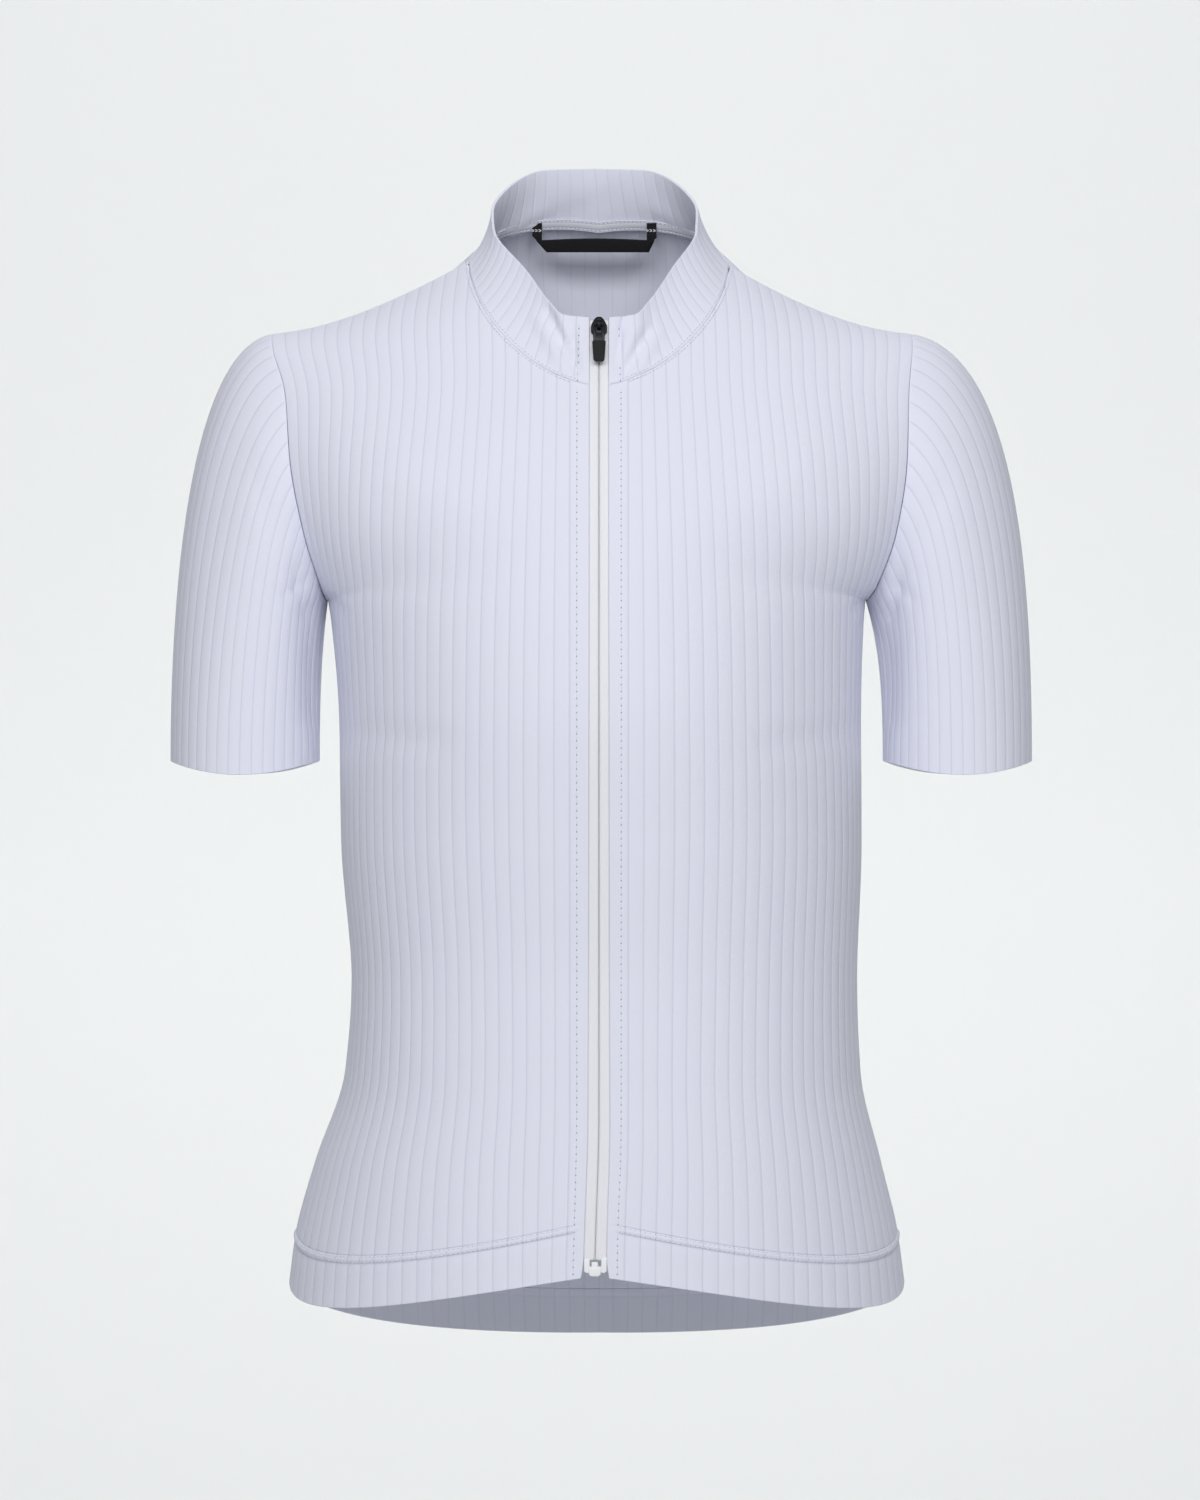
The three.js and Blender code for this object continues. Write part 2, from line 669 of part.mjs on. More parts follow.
// A flat tape that hangs from the back neck seam in a shallow U with folded corners.
function hangLoop() {
  const { left, right, wide, drop, bar, thick, corner, top, lean } = loop;
  const outerEnd = necks[RIGHT].at(backNeckShare(RIGHT, -left + wide / 2));
  const y = outerEnd.y - wall - seamGap - neckTape.thick - seamGap - lean;
  const z = outerEnd.z + top;
  const shape = new THREE.Shape();
  const outline = [
    [left - wide / 2, z], [left - wide / 2, z - drop + corner], [left - wide / 2 + corner, z - drop],
    [right + wide / 2 - corner, z - drop], [right + wide / 2, z - drop + corner], [right + wide / 2, z],
    [right - wide / 2, z], [right - wide / 2, z - drop + bar],
    [left + wide / 2, z - drop + bar], [left + wide / 2, z],
  ];
  shape.setFromPoints(outline.map(([x, up]) => new THREE.Vector2(x, up)));
  const geometry = new THREE.ExtrudeGeometry(shape, { depth: thick, bevelEnabled: false });
  geometry.rotateX(Math.PI / 2);
  geometry.translate(0, y, 0);
  return geometry;
}

// Zip

// The zip's line up the front: row for the fronts, then on over the collar by its level.
function zipLine(side, across, way) {
  const foot = neckRow(FRONT, side, -1);
  if (way <= foot) {
    const found = rowCurve(FRONT, side, way);
    const point = alongRow(found, across);
    point.y -= seamGap / 2;
    return { point, normal: torsoNormal(FRONT, side, -1, way) };
  }
  const level = way - foot;
  const share = side * (1 - Math.max(0, across - slotTop) / necks[side].total);
  const point = collarPoint(share, level);
  const normal = collarNormal(share, level);
  if (across < slotTop) {
    point.x = side * across;
    normal.setX(0).normalize();
  }
  return { point, normal };
}

function zipTape(side) {
  const foot = neckRow(FRONT, side, -1);
  const boxTop = bisect((row) => rowCurve(FRONT, side, row).points[0].z < torso[0].frontZ + zipBox.lift + zipBox.height, 0, 2);
  const onCollar = [0, 0.3, 0.6, 0.7, 0.97].map((level) => foot + level);
  const rows = [boxTop + 0.03, ...panelRows.filter((row) => row < foot - 0.1), ...onCollar];
  const depth = wall + seamGap + 0.1;
  const place = (across, way, down) => {
    const near = across < 1 && way > foot + 0.65 ? tape.spread : across;
    const { point, normal } = zipLine(side, near, way);
    const corner = 0.5 * clamp(1 - Math.abs(way - foot) / 0.3, 0, 1);
    return point.addScaledVector(normal, -down - corner);
  };
  return clothSolid({
    outerColumns: [tape.gap, slotTop, tape.half],
    plainStep: 1,
    rows,
    outer: (across, way) => place(across, way, depth),
    inner: (across, way) => place(across, way, depth + tape.thick),
  });
}

function solidOf(geometry) {
  const bare = geometry.clone();
  bare.deleteAttribute("normal");
  bare.deleteAttribute("uv");
  const merged = mergeVertices(bare, 1e-4);
  return new wasm.Manifold(new wasm.Mesh({
    numProp: 3,
    vertProperties: new Float32Array(merged.attributes.position.array),
    triVerts: new Uint32Array(merged.index.array),
  }));
}

function geometryOf(solid) {
  const mesh = solid.getMesh();
  const geometry = new THREE.BufferGeometry();
  geometry.setAttribute("position", new THREE.Float32BufferAttribute(mesh.vertProperties, 3));
  geometry.setIndex([...mesh.triVerts]);
  return geometry;
}

// A block between two corners.
function block(x0, x1, y0, y1, z0, z1) {
  const geometry = new THREE.BoxGeometry(x1 - x0, y1 - y0, z1 - z0);
  return geometry.translate((x0 + x1) / 2, (y0 + y1) / 2, (z0 + z1) / 2);
}

function plate(outline, thick) {
  const shape = new THREE.Shape(outline.map(([x, y]) => new THREE.Vector2(x, y)));
  return new THREE.ExtrudeGeometry(shape, { depth: thick, bevelEnabled: false });
}

// Slider parts lie in their own frame: x across, y up the zip, z out of the cloth, 0 at the cloth's face.
function sliderPiece() {
  const { long, wide, top, plate: thick, post } = slider;
  const outline = [
    [-top / 2, long / 2], [-wide / 2, long / 2 - 4], [-wide / 2, -long / 2 + 3], [-wide / 2 + 1.5, -long / 2],
    [wide / 2 - 1.5, -long / 2], [wide / 2, -long / 2 + 3], [wide / 2, long / 2 - 4], [top / 2, long / 2],
  ];
  const upperFace = tab.pivot - bridge.hole / 2;
  const tapeFace = -(wall + seamGap + 0.1);
  const upper = plate(outline, upperFace - (tapeFace + seamGap)).translate(0, 0, tapeFace + seamGap);
  const lower = plate(outline, thick).translate(0, 0, tapeFace - tape.thick - seamGap - thick);
  const neck = block(-post, post, long / 2 - 3, long / 2, tapeFace - tape.thick - seamGap - thick / 2, 0);
  const reachOut = upperFace + bridge.height + bridge.bar / 2;
  const arch = block(-bridge.half, bridge.half, -bridge.hole / 2 - bridge.bar, bridge.hole / 2 + bridge.bar,
    upperFace - 0.5, reachOut + 0.4);
  const eye = block(-9, 9, -bridge.hole / 2, bridge.hole / 2, upperFace, upperFace + bridge.height);
  const archSolid = solidOf(arch).subtract(solidOf(eye));
  return geometryOf(solidOf(upper).add(solidOf(neck)).add(solidOf(lower)).add(archSolid));
}

function tabPiece() {
  const { long, wide, end, thick, window: hole, arm } = tab;
  const head = thick / 2;
  const shape = new THREE.Shape();
  shape.moveTo(-wide / 2, head - 0.4);
  shape.lineTo(-wide / 2 + 0.4, head);
  shape.lineTo(wide / 2 - 0.4, head);
  shape.lineTo(wide / 2, head - 0.4);
  shape.lineTo(end / 2, -long + end / 2);
  shape.absarc(0, -long + end / 2, end / 2, 0, -Math.PI, true);
  shape.closePath();
  const eye = new THREE.Path([
    [-arm, -head], [-arm, -hole], [arm, -hole], [arm, -head],
  ].map(([x, y]) => new THREE.Vector2(x, y)));
  shape.holes.push(eye);
  const geometry = new THREE.ExtrudeGeometry(shape, { depth: thick, bevelEnabled: false, curveSegments: 8 });
  return geometry.translate(0, 0, -thick / 2);
}

// The place and lean of the zip at the slider.
const sliderSpot = (() => {
  const foot = neckRow(FRONT, LEFT, -1);
  const way = foot + bisect((level) => zipLine(LEFT, 0, foot + level).point.z < sliderZ, 0, 1);
  const { point, normal } = zipLine(LEFT, 0, way);
  return { point, lean: Math.atan2(normal.z, -normal.y) };
})();

// Turns a piece from the zip's own frame to the jersey's.
function atSlider(mesh, out = 0) {
  mesh.rotation.x = Math.PI / 2 - sliderSpot.lean;
  mesh.position.copy(sliderSpot.point);
  mesh.position.add(vec(0, -Math.cos(sliderSpot.lean), Math.sin(sliderSpot.lean)).multiplyScalar(out));
  return mesh;
}

function zipBoxPiece() {
  const bottom = torso[0].frontZ + zipBox.lift;
  const y = torso[0].frontY;
  return block(-zipBox.half, zipBox.half, y - zipBox.front, y + zipBox.back, bottom, bottom + zipBox.height - 0.3);
}

// Assembly
const finishes = {
  knit: { color: 0xe6e8f0, roughness: 0.85, metalness: 0 },
  zipTape: { color: 0xeceef4, roughness: 0.7, metalness: 0 },
  plastic: { color: 0xf2f3f6, roughness: 0.4, metalness: 0 },
  gunmetal: { color: 0x26272b, roughness: 0.35, metalness: 0.9 },
  rubber: { color: 0x1a1a1d, roughness: 0.6, metalness: 0 },
  webbing: { color: 0x17171a, roughness: 0.9, metalness: 0 },
};

const jersey = new THREE.Group();

function add(name, finish, geometry) {
  const mesh = new THREE.Mesh(geometry, new THREE.MeshStandardMaterial(finishes[finish]));
  mesh.name = name;
  jersey.add(mesh);
  return mesh;
}

add("front_right", "knit", frontPanel(RIGHT));
add("front_left", "knit", frontPanel(LEFT));
add("back", "knit", backPanel());
add("sleeve_right", "knit", sleeve(RIGHT));
add("sleeve_left", "knit", sleeve(LEFT));
add("collar", "knit", collar());
add("hem_band_right", "knit", hemBand(FRONT, RIGHT));
add("hem_band_left", "knit", hemBand(FRONT, LEFT));
add("hem_band_back", "knit", hemBand(BACK));
add("pocket_panel", "knit", pocketPanel());
add("neck_tape", "knit", neckTapePiece());
add("hang_loop", "webbing", hangLoop());
add("zip_tape_right", "zipTape", zipTape(RIGHT));
add("zip_tape_left", "zipTape", zipTape(LEFT));
add("zip_box", "plastic", zipBoxPiece());
atSlider(add("zip_slider", "gunmetal", sliderPiece()));
atSlider(add("pull_tab", "rubber", tabPiece()), tab.pivot);

export default jersey;
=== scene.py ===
"""Blender scene of a women's short-sleeve cycling jersey in white rib knit, zipped up and filled out.

Shapes are worked out in millimetres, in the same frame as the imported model: +Z up, the front faces -Y and +X
is the wearer's left. Every cloth piece is a thin closed shell on its solid's own surface, with the ribs, the
creases and the sewing added. Meshes are written in metres.
"""
from __future__ import annotations

import logging
import math
from dataclasses import dataclass, field
from enum import Enum
from typing import Callable, Sequence

import bmesh
import bpy
import numpy as np
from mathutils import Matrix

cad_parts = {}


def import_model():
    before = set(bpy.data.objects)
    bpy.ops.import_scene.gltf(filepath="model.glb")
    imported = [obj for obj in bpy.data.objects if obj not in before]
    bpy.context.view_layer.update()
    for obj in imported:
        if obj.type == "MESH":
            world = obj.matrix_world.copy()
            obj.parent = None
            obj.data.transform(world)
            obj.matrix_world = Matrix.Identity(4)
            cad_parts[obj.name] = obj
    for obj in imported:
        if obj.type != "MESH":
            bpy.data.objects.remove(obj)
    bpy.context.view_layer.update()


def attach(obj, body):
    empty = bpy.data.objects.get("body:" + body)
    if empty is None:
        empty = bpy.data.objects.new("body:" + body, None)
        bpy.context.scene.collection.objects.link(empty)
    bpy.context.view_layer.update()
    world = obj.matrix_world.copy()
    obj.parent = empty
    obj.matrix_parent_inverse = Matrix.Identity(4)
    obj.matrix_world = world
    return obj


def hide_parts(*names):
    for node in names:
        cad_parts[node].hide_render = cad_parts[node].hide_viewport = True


log = logging.getLogger("jersey")

MM = 0.001
Array = np.ndarray

# Cloth
WALL = 1.4
SEAM_GAP = 0.3  # between a panel and what lies on it
SEWN_GAP = 0.02  # between two edges that are sewn together
RIB_HEIGHT = 0.25
RIB_PITCH = 7.5  # nominal width of a rib, which the cloth coordinates count in
# GROOVE: how far to each side of a rib's line the painted shade in its groove reaches
GROOVE = 0.5  # half width of the furrow between two ribs
FRONT_RIBS, BACK_RIBS, SLEEVE_RIBS, COLLAR_RIBS = 23, 24, 40, 29
SLOT_TOP, SLOT_BOTTOM, PLACKET = 5.3, 6.4, 16.0

# Torso
SIDE_Y, RIDGE_Y = 6.0, 8.0
ARMHOLE_FRONT, ARMHOLE_BACK = 52.0, 50.0
HEM_SPREAD = 0.15
BAND_ROW, PIT_ROW, RIDGE_ROW = 1, 7, 13
BAND_HEIGHT = 29.0
HEM_CORNER = 1.4  # how far the front edges turn out at the hem
ZIP_SWAY = -2.2  # how far the foot of the zip stands to the right

# Neck and collar
NECK_HALF, NECK_DROP, NECK_BACK = 73.0, 74.0, 60.0
NECK_ROUND, BACK_ROUND = 1.7, 2.2
NECK_STEP = 40.0  # mm from row to row beside the neckline
FLARE_HIGH, FLARE_REACH = 15.0, 20.0
COLLAR_LEAN, COLLAR_BOW = -2.4, 2.5

# Pocket panel
POCKET_RIB, POCKET_TOP_ROW, POCKET_SLACK = 18, 3.35, 1.1


class Face(Enum):
    """Half of the torso, by the way that it faces along Y."""

    FRONT = -1
    BACK = 1


class Side(Enum):
    """Side of the wearer, by its sign along X."""

    RIGHT = -1
    LEFT = 1


# Small helpers


def clamp(values: Array | float, low: float = 0.0, high: float = 1.0) -> Array:
    """Limits values to a range."""
    return np.clip(values, low, high)


def mix(a: Array | float, b: Array | float, t: Array | float) -> Array:
    """Blends from a to b."""
    return a + (b - a) * t


def smooth(values: Array | float, low: float, high: float) -> Array:
    """Eases from 0 at low to 1 at high."""
    t = clamp((np.asarray(values, float) - low) / (high - low))
    return t * t * (3 - 2 * t)


def xyz(x: Array | float, y: Array | float, z: Array | float) -> Array:
    """Stacks three coordinates into points."""
    return np.stack(np.broadcast_arrays(np.asarray(x, float), y, z), axis=-1)


def unit(vectors: Array) -> Array:
    """Vectors of length 1."""
    return vectors / np.maximum(np.linalg.norm(vectors, axis=-1, keepdims=True), 1e-12)


def bezier(p: Sequence[Array], t: Array) -> Array:
    """Points of a cubic with four control points."""
    t = np.asarray(t, float)[..., None]
    u = 1 - t
    return u**3 * p[0] + 3 * u * u * t * p[1] + 3 * u * t * t * p[2] + t**3 * p[3]


class SmoothCurve:
    """A curve through evenly numbered values that never overshoots them."""

    def __init__(self, values: Sequence[float]) -> None:
        self.values = np.asarray(values, float)
        step = np.diff(self.values)
        product = step[:-1] * step[1:]
        total = np.where(product > 0, step[:-1] + step[1:], 1.0)
        inner = np.where(product > 0, 2 * product / total, 0.0)
        self.slope = np.concatenate([step[:1], inner, step[-1:]])

    def __call__(self, at: Array | float) -> Array:
        at = np.asarray(at, float)
        i = np.clip(np.floor(at).astype(int), 0, len(self.values) - 2)
        t = at - i
        u = 1 - t
        return (
            u * u * (1 + 2 * t) * self.values[i]
            + t * t * (3 - 2 * t) * self.values[i + 1]
            + t * u * u * self.slope[i]
            - t * t * u * self.slope[i + 1]
        )


def bisect(test: Callable[[Array], Array], low: Array, high: Array) -> Array:
    """The place between low and high where test turns from true to false, for many places at once."""
    low, high = np.array(low, float), np.array(high, float)
    for _ in range(34):
        middle = (low + high) / 2
        holds = test(middle)
        low, high = np.where(holds, middle, low), np.where(holds, high, middle)
    return (low + high) / 2


class Polyline:
    """A line that is read by its share of the whole length."""

    def __init__(self, points: Array) -> None:
        self.points = points
        steps = np.linalg.norm(np.diff(points, axis=0), axis=1)
        self.lengths = np.concatenate([[0.0], np.cumsum(steps)])
        self.total = self.lengths[-1]

    def at(self, share: Array | float) -> Array:
        s = clamp(share) * self.total
        return np.stack([np.interp(s, self.lengths, self.points[:, k]) for k in range(3)], axis=-1)


# The torso's surface


class Torso:
    """Surface of the fronts and the back, by rib and row.

    Rows run from the hem (0) to the shoulder ridge (13), ribs from the placket or the centre back to the side
    seam. Each row is a cubic from the centre line to its outer edge, and ribs keep their share of its length.
    """

    NAMES = "edge_z right left front_z front_y back_z back_y turn reach fall rise_front rise_back handle dip".split()
    ROWS = (
        (-570, 173.5, 171.0, -557, -113, -612, 116, 90, 0.6, 1, -22, -27, 62, 14),  # hem
        (-541, 169.5, 167.0, -527, -112, -586, 115, 90, 0.6, 1, -18, -27, 62, 21),  # top of the hem band
        (-502, 158.5, 157.5, -494, -109, -534, 110, 90, 0.6, 0, -8, -14, 62, 7),
        (-452, 142.0, 146.3, -449, -105, -468, 100, 90, 0.6, 0, -2, -5, 62, 2),
        (-400, 138.5, 144.5, -400, -103, -404, 93, 90, 0.6, 0, 0, 0, 62, 0),  # waist
        (-325, 144.3, 147.0, -325, -111, -325, 97, 90, 0.6, 0, 0, 0, 62, 0),
        (-252, 145.6, 146.7, -252, -119, -252, 107, 90, 0.6, 0, 0, 0, 62, 0),  # fullest part of the chest
        (-189, 152.0, 149.5, -189, -112.5, -189, 112, 90, 0.6, 0, 0, 0, 62, 0),  # foot of the armhole
        (-179, 156.0, 156.0, -163, -106.8, -158, 113, 74, 0.59, 0, 0, 0, 46, 0),
        (-152, 163.7, 164.7, -134, -98.3, -124, 112, 58, 0.57, 0, 1, 1, 52, 0),
        (-115, 170.4, 170.0, -103, -87, -86, 108, 38, 0.55, 1, 2, 2, 58, 0),
        (-77, 173.5, 171.4, -66, -68, -40, 98, 24, 0.5, 4, 4, 4, 62, 0),
        (-50, 181.5, 174.4, -16, -38, 18, 78, 12, 0.42, 14, 5, 5, 62, 0),
        (-40, 184.0, 175.5, 38, 8, 38, 8, 0, 0.33, 26, 5, 5, 62, 0),  # shoulder ridge
    )
    STEPS = 40
    # how far the ribs would reach along rows 5 to 11 on a smooth course, were there no armhole
    SPANS = {
        Face.FRONT: SmoothCurve((206.5, 208, 202, 197, 189.5, 183, 178.3)),
        Face.BACK: SmoothCurve((191.6, 195, 196.5, 194, 190.5, 187, 186.4)),
    }

    def __init__(self) -> None:
        columns = zip(*self.ROWS)
        self.curve = {name: SmoothCurve(values) for name, values in zip(self.NAMES, columns)}

    def edge(self, face: Face, side: Side, row: Array) -> Array:
        """The armhole, and the side seam below it."""
        row = np.asarray(row, float)
        half = self.curve["right" if side is Side.RIGHT else "left"](row)
        share = (row - PIT_ROW) / (RIDGE_ROW - PIT_ROW)
        angle = clamp(share) * math.pi
        bow = ARMHOLE_FRONT if face is Face.FRONT else ARMHOLE_BACK
        above = row > PIT_ROW
        y = np.where(above, mix(SIDE_Y, RIDGE_Y, share) + face.value * bow * np.sin(angle), SIDE_Y)
        armhole_z = mix(self.ROWS[PIT_ROW][0], self.ROWS[RIDGE_ROW][0], (1 - np.cos(angle)) / 2)
        return xyz(side.value * half, y, np.where(above, armhole_z, self.curve["edge_z"](row)))

    @staticmethod
    def eased(row: Array) -> Array:
        """Rows leave the foot of the armhole slowly, so that the panel has no crease there."""
        away = np.asarray(row, float) - PIT_ROW
        t = np.abs(away)
        return np.where(t < 1, PIT_ROW + np.sign(away) * t * t * (2 - t), row)

    def handles(self, face: Face, side: Side, row: Array) -> list[Array]:
        """The four control points of each row."""
        name = "front" if face is Face.FRONT else "back"
        outer = self.edge(face, side, self.eased(row))
        turn = np.radians(self.curve["turn"](row))
        y, z = self.curve[f"{name}_y"](row), self.curve[f"{name}_z"](row)
        way = xyz(side.value * np.cos(turn), -face.value * np.sin(turn), 0.0)
        lift = xyz(0.0, 0.0, self.curve[f"rise_{name}"](row))
        dip = self.curve["dip"](row) if face is Face.FRONT else 0.0
        inner = xyz(self.curve["reach"](row) * outer[..., 0], y, z - self.curve["fall"](row) - dip)
        return [xyz(0.0, y, z), inner, outer - self.curve["handle"](row)[..., None] * way + lift, outer]

    def rib_length(self, face: Face, rib: Array, row: Array, total: Array) -> Array:
        """How far out along its row a rib lies."""
        inner = PLACKET if face is Face.FRONT else 0.0
        share = rib / (FRONT_RIBS if face is Face.FRONT else BACK_RIBS)
        spread = HEM_SPREAD * clamp(1 - row / (PIT_ROW - 3))
        shift = self.rib_shift(face, share, row, total - inner)
        out = inner + (total - inner) * (share - spread * share * (1 - share) + shift)
        if face is Face.BACK:
            return out
        slot = mix(SLOT_BOTTOM, SLOT_TOP, clamp(row / PIT_ROW)) + HEM_CORNER * clamp(1 - row / 0.4) ** 2
        return np.where(rib < 0, mix(PLACKET, slot, -rib), out)

    def rib_shift(self, face: Face, share: Array, row: Array, reach: Array) -> Array:
        """Keeps the ribs beside the armhole on their smooth course, and lets them give way only near its edge."""
        inner = PLACKET if face is Face.FRONT else 0.0
        at = clamp(row - 5, 0, 6)
        shift = ((self.SPANS[face](at) - inner) / reach - 1) * np.minimum(1, np.minimum(at, 6 - at))
        return shift * share * (1 - np.abs(share) ** 6)

    def along(self, face: Face, side: Side, row: Array, length: Callable[[Array], Array] | Array) -> Array:
        """Points at a length out along their rows, or at the length that a function gives for the row's own."""
        row = np.asarray(row, float)
        points = self.handles(face, side, row)
        steps = np.linspace(0, 1, self.STEPS + 1)
        line = bezier([p[..., None, :] for p in points], steps)
        lengths = np.cumsum(np.linalg.norm(np.diff(line, axis=-2), axis=-1), axis=-1)
        lengths = np.concatenate([np.zeros(row.shape + (1,)), lengths], axis=-1)
        total = lengths[..., -1]
        s = clamp(length(total) if callable(length) else length, 0, total)[..., None]
        i = np.clip((lengths < s).sum(axis=-1, keepdims=True), 1, self.STEPS)
        before, after = np.take_along_axis(lengths, i - 1, -1), np.take_along_axis(lengths, i, -1)
        t = (i - 1 + (s - before) / (after - before)) / self.STEPS
        found = bezier(points, t[..., 0])
        if face is Face.FRONT:
            found[..., 0] += ZIP_SWAY * smooth(-found[..., 2], 470, 560) * np.exp(-((found[..., 0] / 45) ** 2))
        return found

    def point(self, face: Face, side: Side, rib: Array, row: Array) -> Array:
        """Points of the surface by rib and row."""
        rib, row = np.broadcast_arrays(np.asarray(rib, float), np.asarray(row, float))
        found = self.along(face, side, row, lambda total: self.rib_length(face, rib, row, total))
        if face is Face.BACK:
            found[..., 2] += self.flare(found)
        found[..., 1] += face.value * SEWN_GAP / 2
        return found

    def normal(self, face: Face, side: Side, rib: Array, row: Array) -> Array:
        """Which way the surface faces."""
        across = self.point(face, side, rib + 0.03, row) - self.point(face, side, rib - 0.03, row)
        up = self.point(face, side, rib, row + 0.02) - self.point(face, side, rib, row - 0.02)
        return unit(side.value * face.value * np.cross(up, across))

    @staticmethod
    def flare(point: Array) -> Array:
        """How far the back rises at both sides of the neck, so that its neckline is level."""
        x = np.abs(point[..., 0]) / NECK_HALF
        y = np.maximum(point[..., 1] - RIDGE_Y, 0) / NECK_BACK
        ring = (x**BACK_ROUND + y**BACK_ROUND) ** (1 / BACK_ROUND)
        across = x / np.maximum(ring, 1e-6)
        away = (ring - 1) * NECK_HALF / FLARE_REACH
        high = FLARE_HIGH * (1 - (1 - across) ** 2) * (1 - across**12) * np.exp(-away * away)
        return np.where((point[..., 1] < RIDGE_Y) | (point[..., 2] < -NECK_DROP), 0.0, high)

    @staticmethod
    def in_neck(face: Face, point: Array) -> Array:
        """Whether points lie inside the neck opening."""
        x = np.abs(point[..., 0]) / NECK_HALF
        if face is Face.BACK:
            y = (point[..., 1] - RIDGE_Y) / NECK_BACK
            return (x < 1) & ((y <= 0) | (x**BACK_ROUND + np.maximum(y, 0) ** BACK_ROUND < 1))
        z = -point[..., 2] / NECK_DROP
        return (x < 1) & ((z <= 0) | (x**NECK_ROUND + np.maximum(z, 0) ** NECK_ROUND < 1))

    def neck_rib(self, face: Face, side: Side, row: Array) -> Array:
        """The rib at which each row leaves the neckline."""
        row = np.asarray(row, float)
        first = -1.0 if face is Face.FRONT else 0.0
        last = float(FRONT_RIBS if face is Face.FRONT else BACK_RIBS)
        found = bisect(
            lambda rib: self.in_neck(face, self.point(face, side, rib, row)),
            np.full(row.shape, first), np.full(row.shape, last),
        )
        starts = self.in_neck(face, self.point(face, side, np.full(row.shape, first), row))
        return np.where(starts, found, first)

    def neck_row(self, face: Face, side: Side, rib: Array) -> Array:
        """The row at which each rib ends, at the neckline or the shoulder ridge."""
        rib = np.asarray(rib, float)
        ridge = np.full(rib.shape, float(RIDGE_ROW))
        found = bisect(
            lambda row: ~self.in_neck(face, self.point(face, side, rib, row)),
            np.full(rib.shape, float(PIT_ROW)), ridge,
        )
        return np.where(self.in_neck(face, self.point(face, side, rib, ridge)), found, ridge)


TORSO = Torso()


def neckline(side: Side) -> Polyline:
    """The neckline of one side, from the zip over the shoulder to the centre back."""
    start = float(TORSO.neck_row(Face.FRONT, side, np.array(-1.0)))
    rows = np.linspace(start, RIDGE_ROW, 60)
    front = TORSO.point(Face.FRONT, side, TORSO.neck_rib(Face.FRONT, side, rows), rows)
    last = float(TORSO.neck_rib(Face.BACK, side, np.array(float(RIDGE_ROW))))
    ribs = np.linspace(last, 0, 40)[1:]
    back = TORSO.point(Face.BACK, side, ribs, TORSO.neck_row(Face.BACK, side, ribs))
    return Polyline(np.concatenate([front, back]))


class Collar:
    """Surface of the collar band by share and level.

    share runs from -1 at the right side of the zip over the back (0) to 1 at its left side, level from 0 at the
    neck seam to 1 at the top edge.
    """

    TOP = (
        (5.3, -62, -36), (20, -60, -34), (28.5, -50, -25), (41, -31, -6), (57, -5, 17),
        (58, 15, 31), (49, 34, 46), (29, 51, 57), (0, 58, 58.5),
    )

    def __init__(self) -> None:
        self.necks = {side: neckline(side) for side in Side}
        curves = [SmoothCurve(values) for values in zip(*self.TOP)]
        at = np.linspace(0, len(self.TOP) - 1, 65)
        self.top = Polyline(xyz(*(curve(at) for curve in curves)))

    def point(self, share: Array, level: Array) -> Array:
        share, level = np.broadcast_arrays(np.asarray(share, float), np.asarray(level, float))
        left = share >= 0
        along = 1 - np.abs(share)
        foot = np.where(left[..., None], self.necks[Side.LEFT].at(along), self.necks[Side.RIGHT].at(along))
        head = self.top.at(along)
        head[..., 0] = head[..., 0] * np.where(left, 1, -1) + COLLAR_LEAN * clamp(along * 4 - 1)
        foot = foot + SEWN_GAP * unit(head - foot)
        inward = -foot * np.array([1.0, 1.0, 0.0])
        bow = COLLAR_BOW * 4 * level * (1 - level) * clamp(along * 4)
        return mix(foot, head, level[..., None]) + unit(inward) * bow[..., None]

    def normal(self, share: Array, level: Array) -> Array:
        """Which way the outer face looks."""
        share, level = np.broadcast_arrays(clamp(share, -0.994, 0.994), clamp(level, 0.02, 0.98))
        aside = self.point(share + 0.005, level) - self.point(share - 0.005, level)
        up = self.point(share, level + 0.02) - self.point(share, level - 0.02)
        found = unit(np.cross(up, aside))
        away = self.point(share, level) * np.array([1.0, 1.0, 0.0])
        return np.where((found * away).sum(-1, keepdims=True) < 0, -found, found)


COLLAR = Collar()


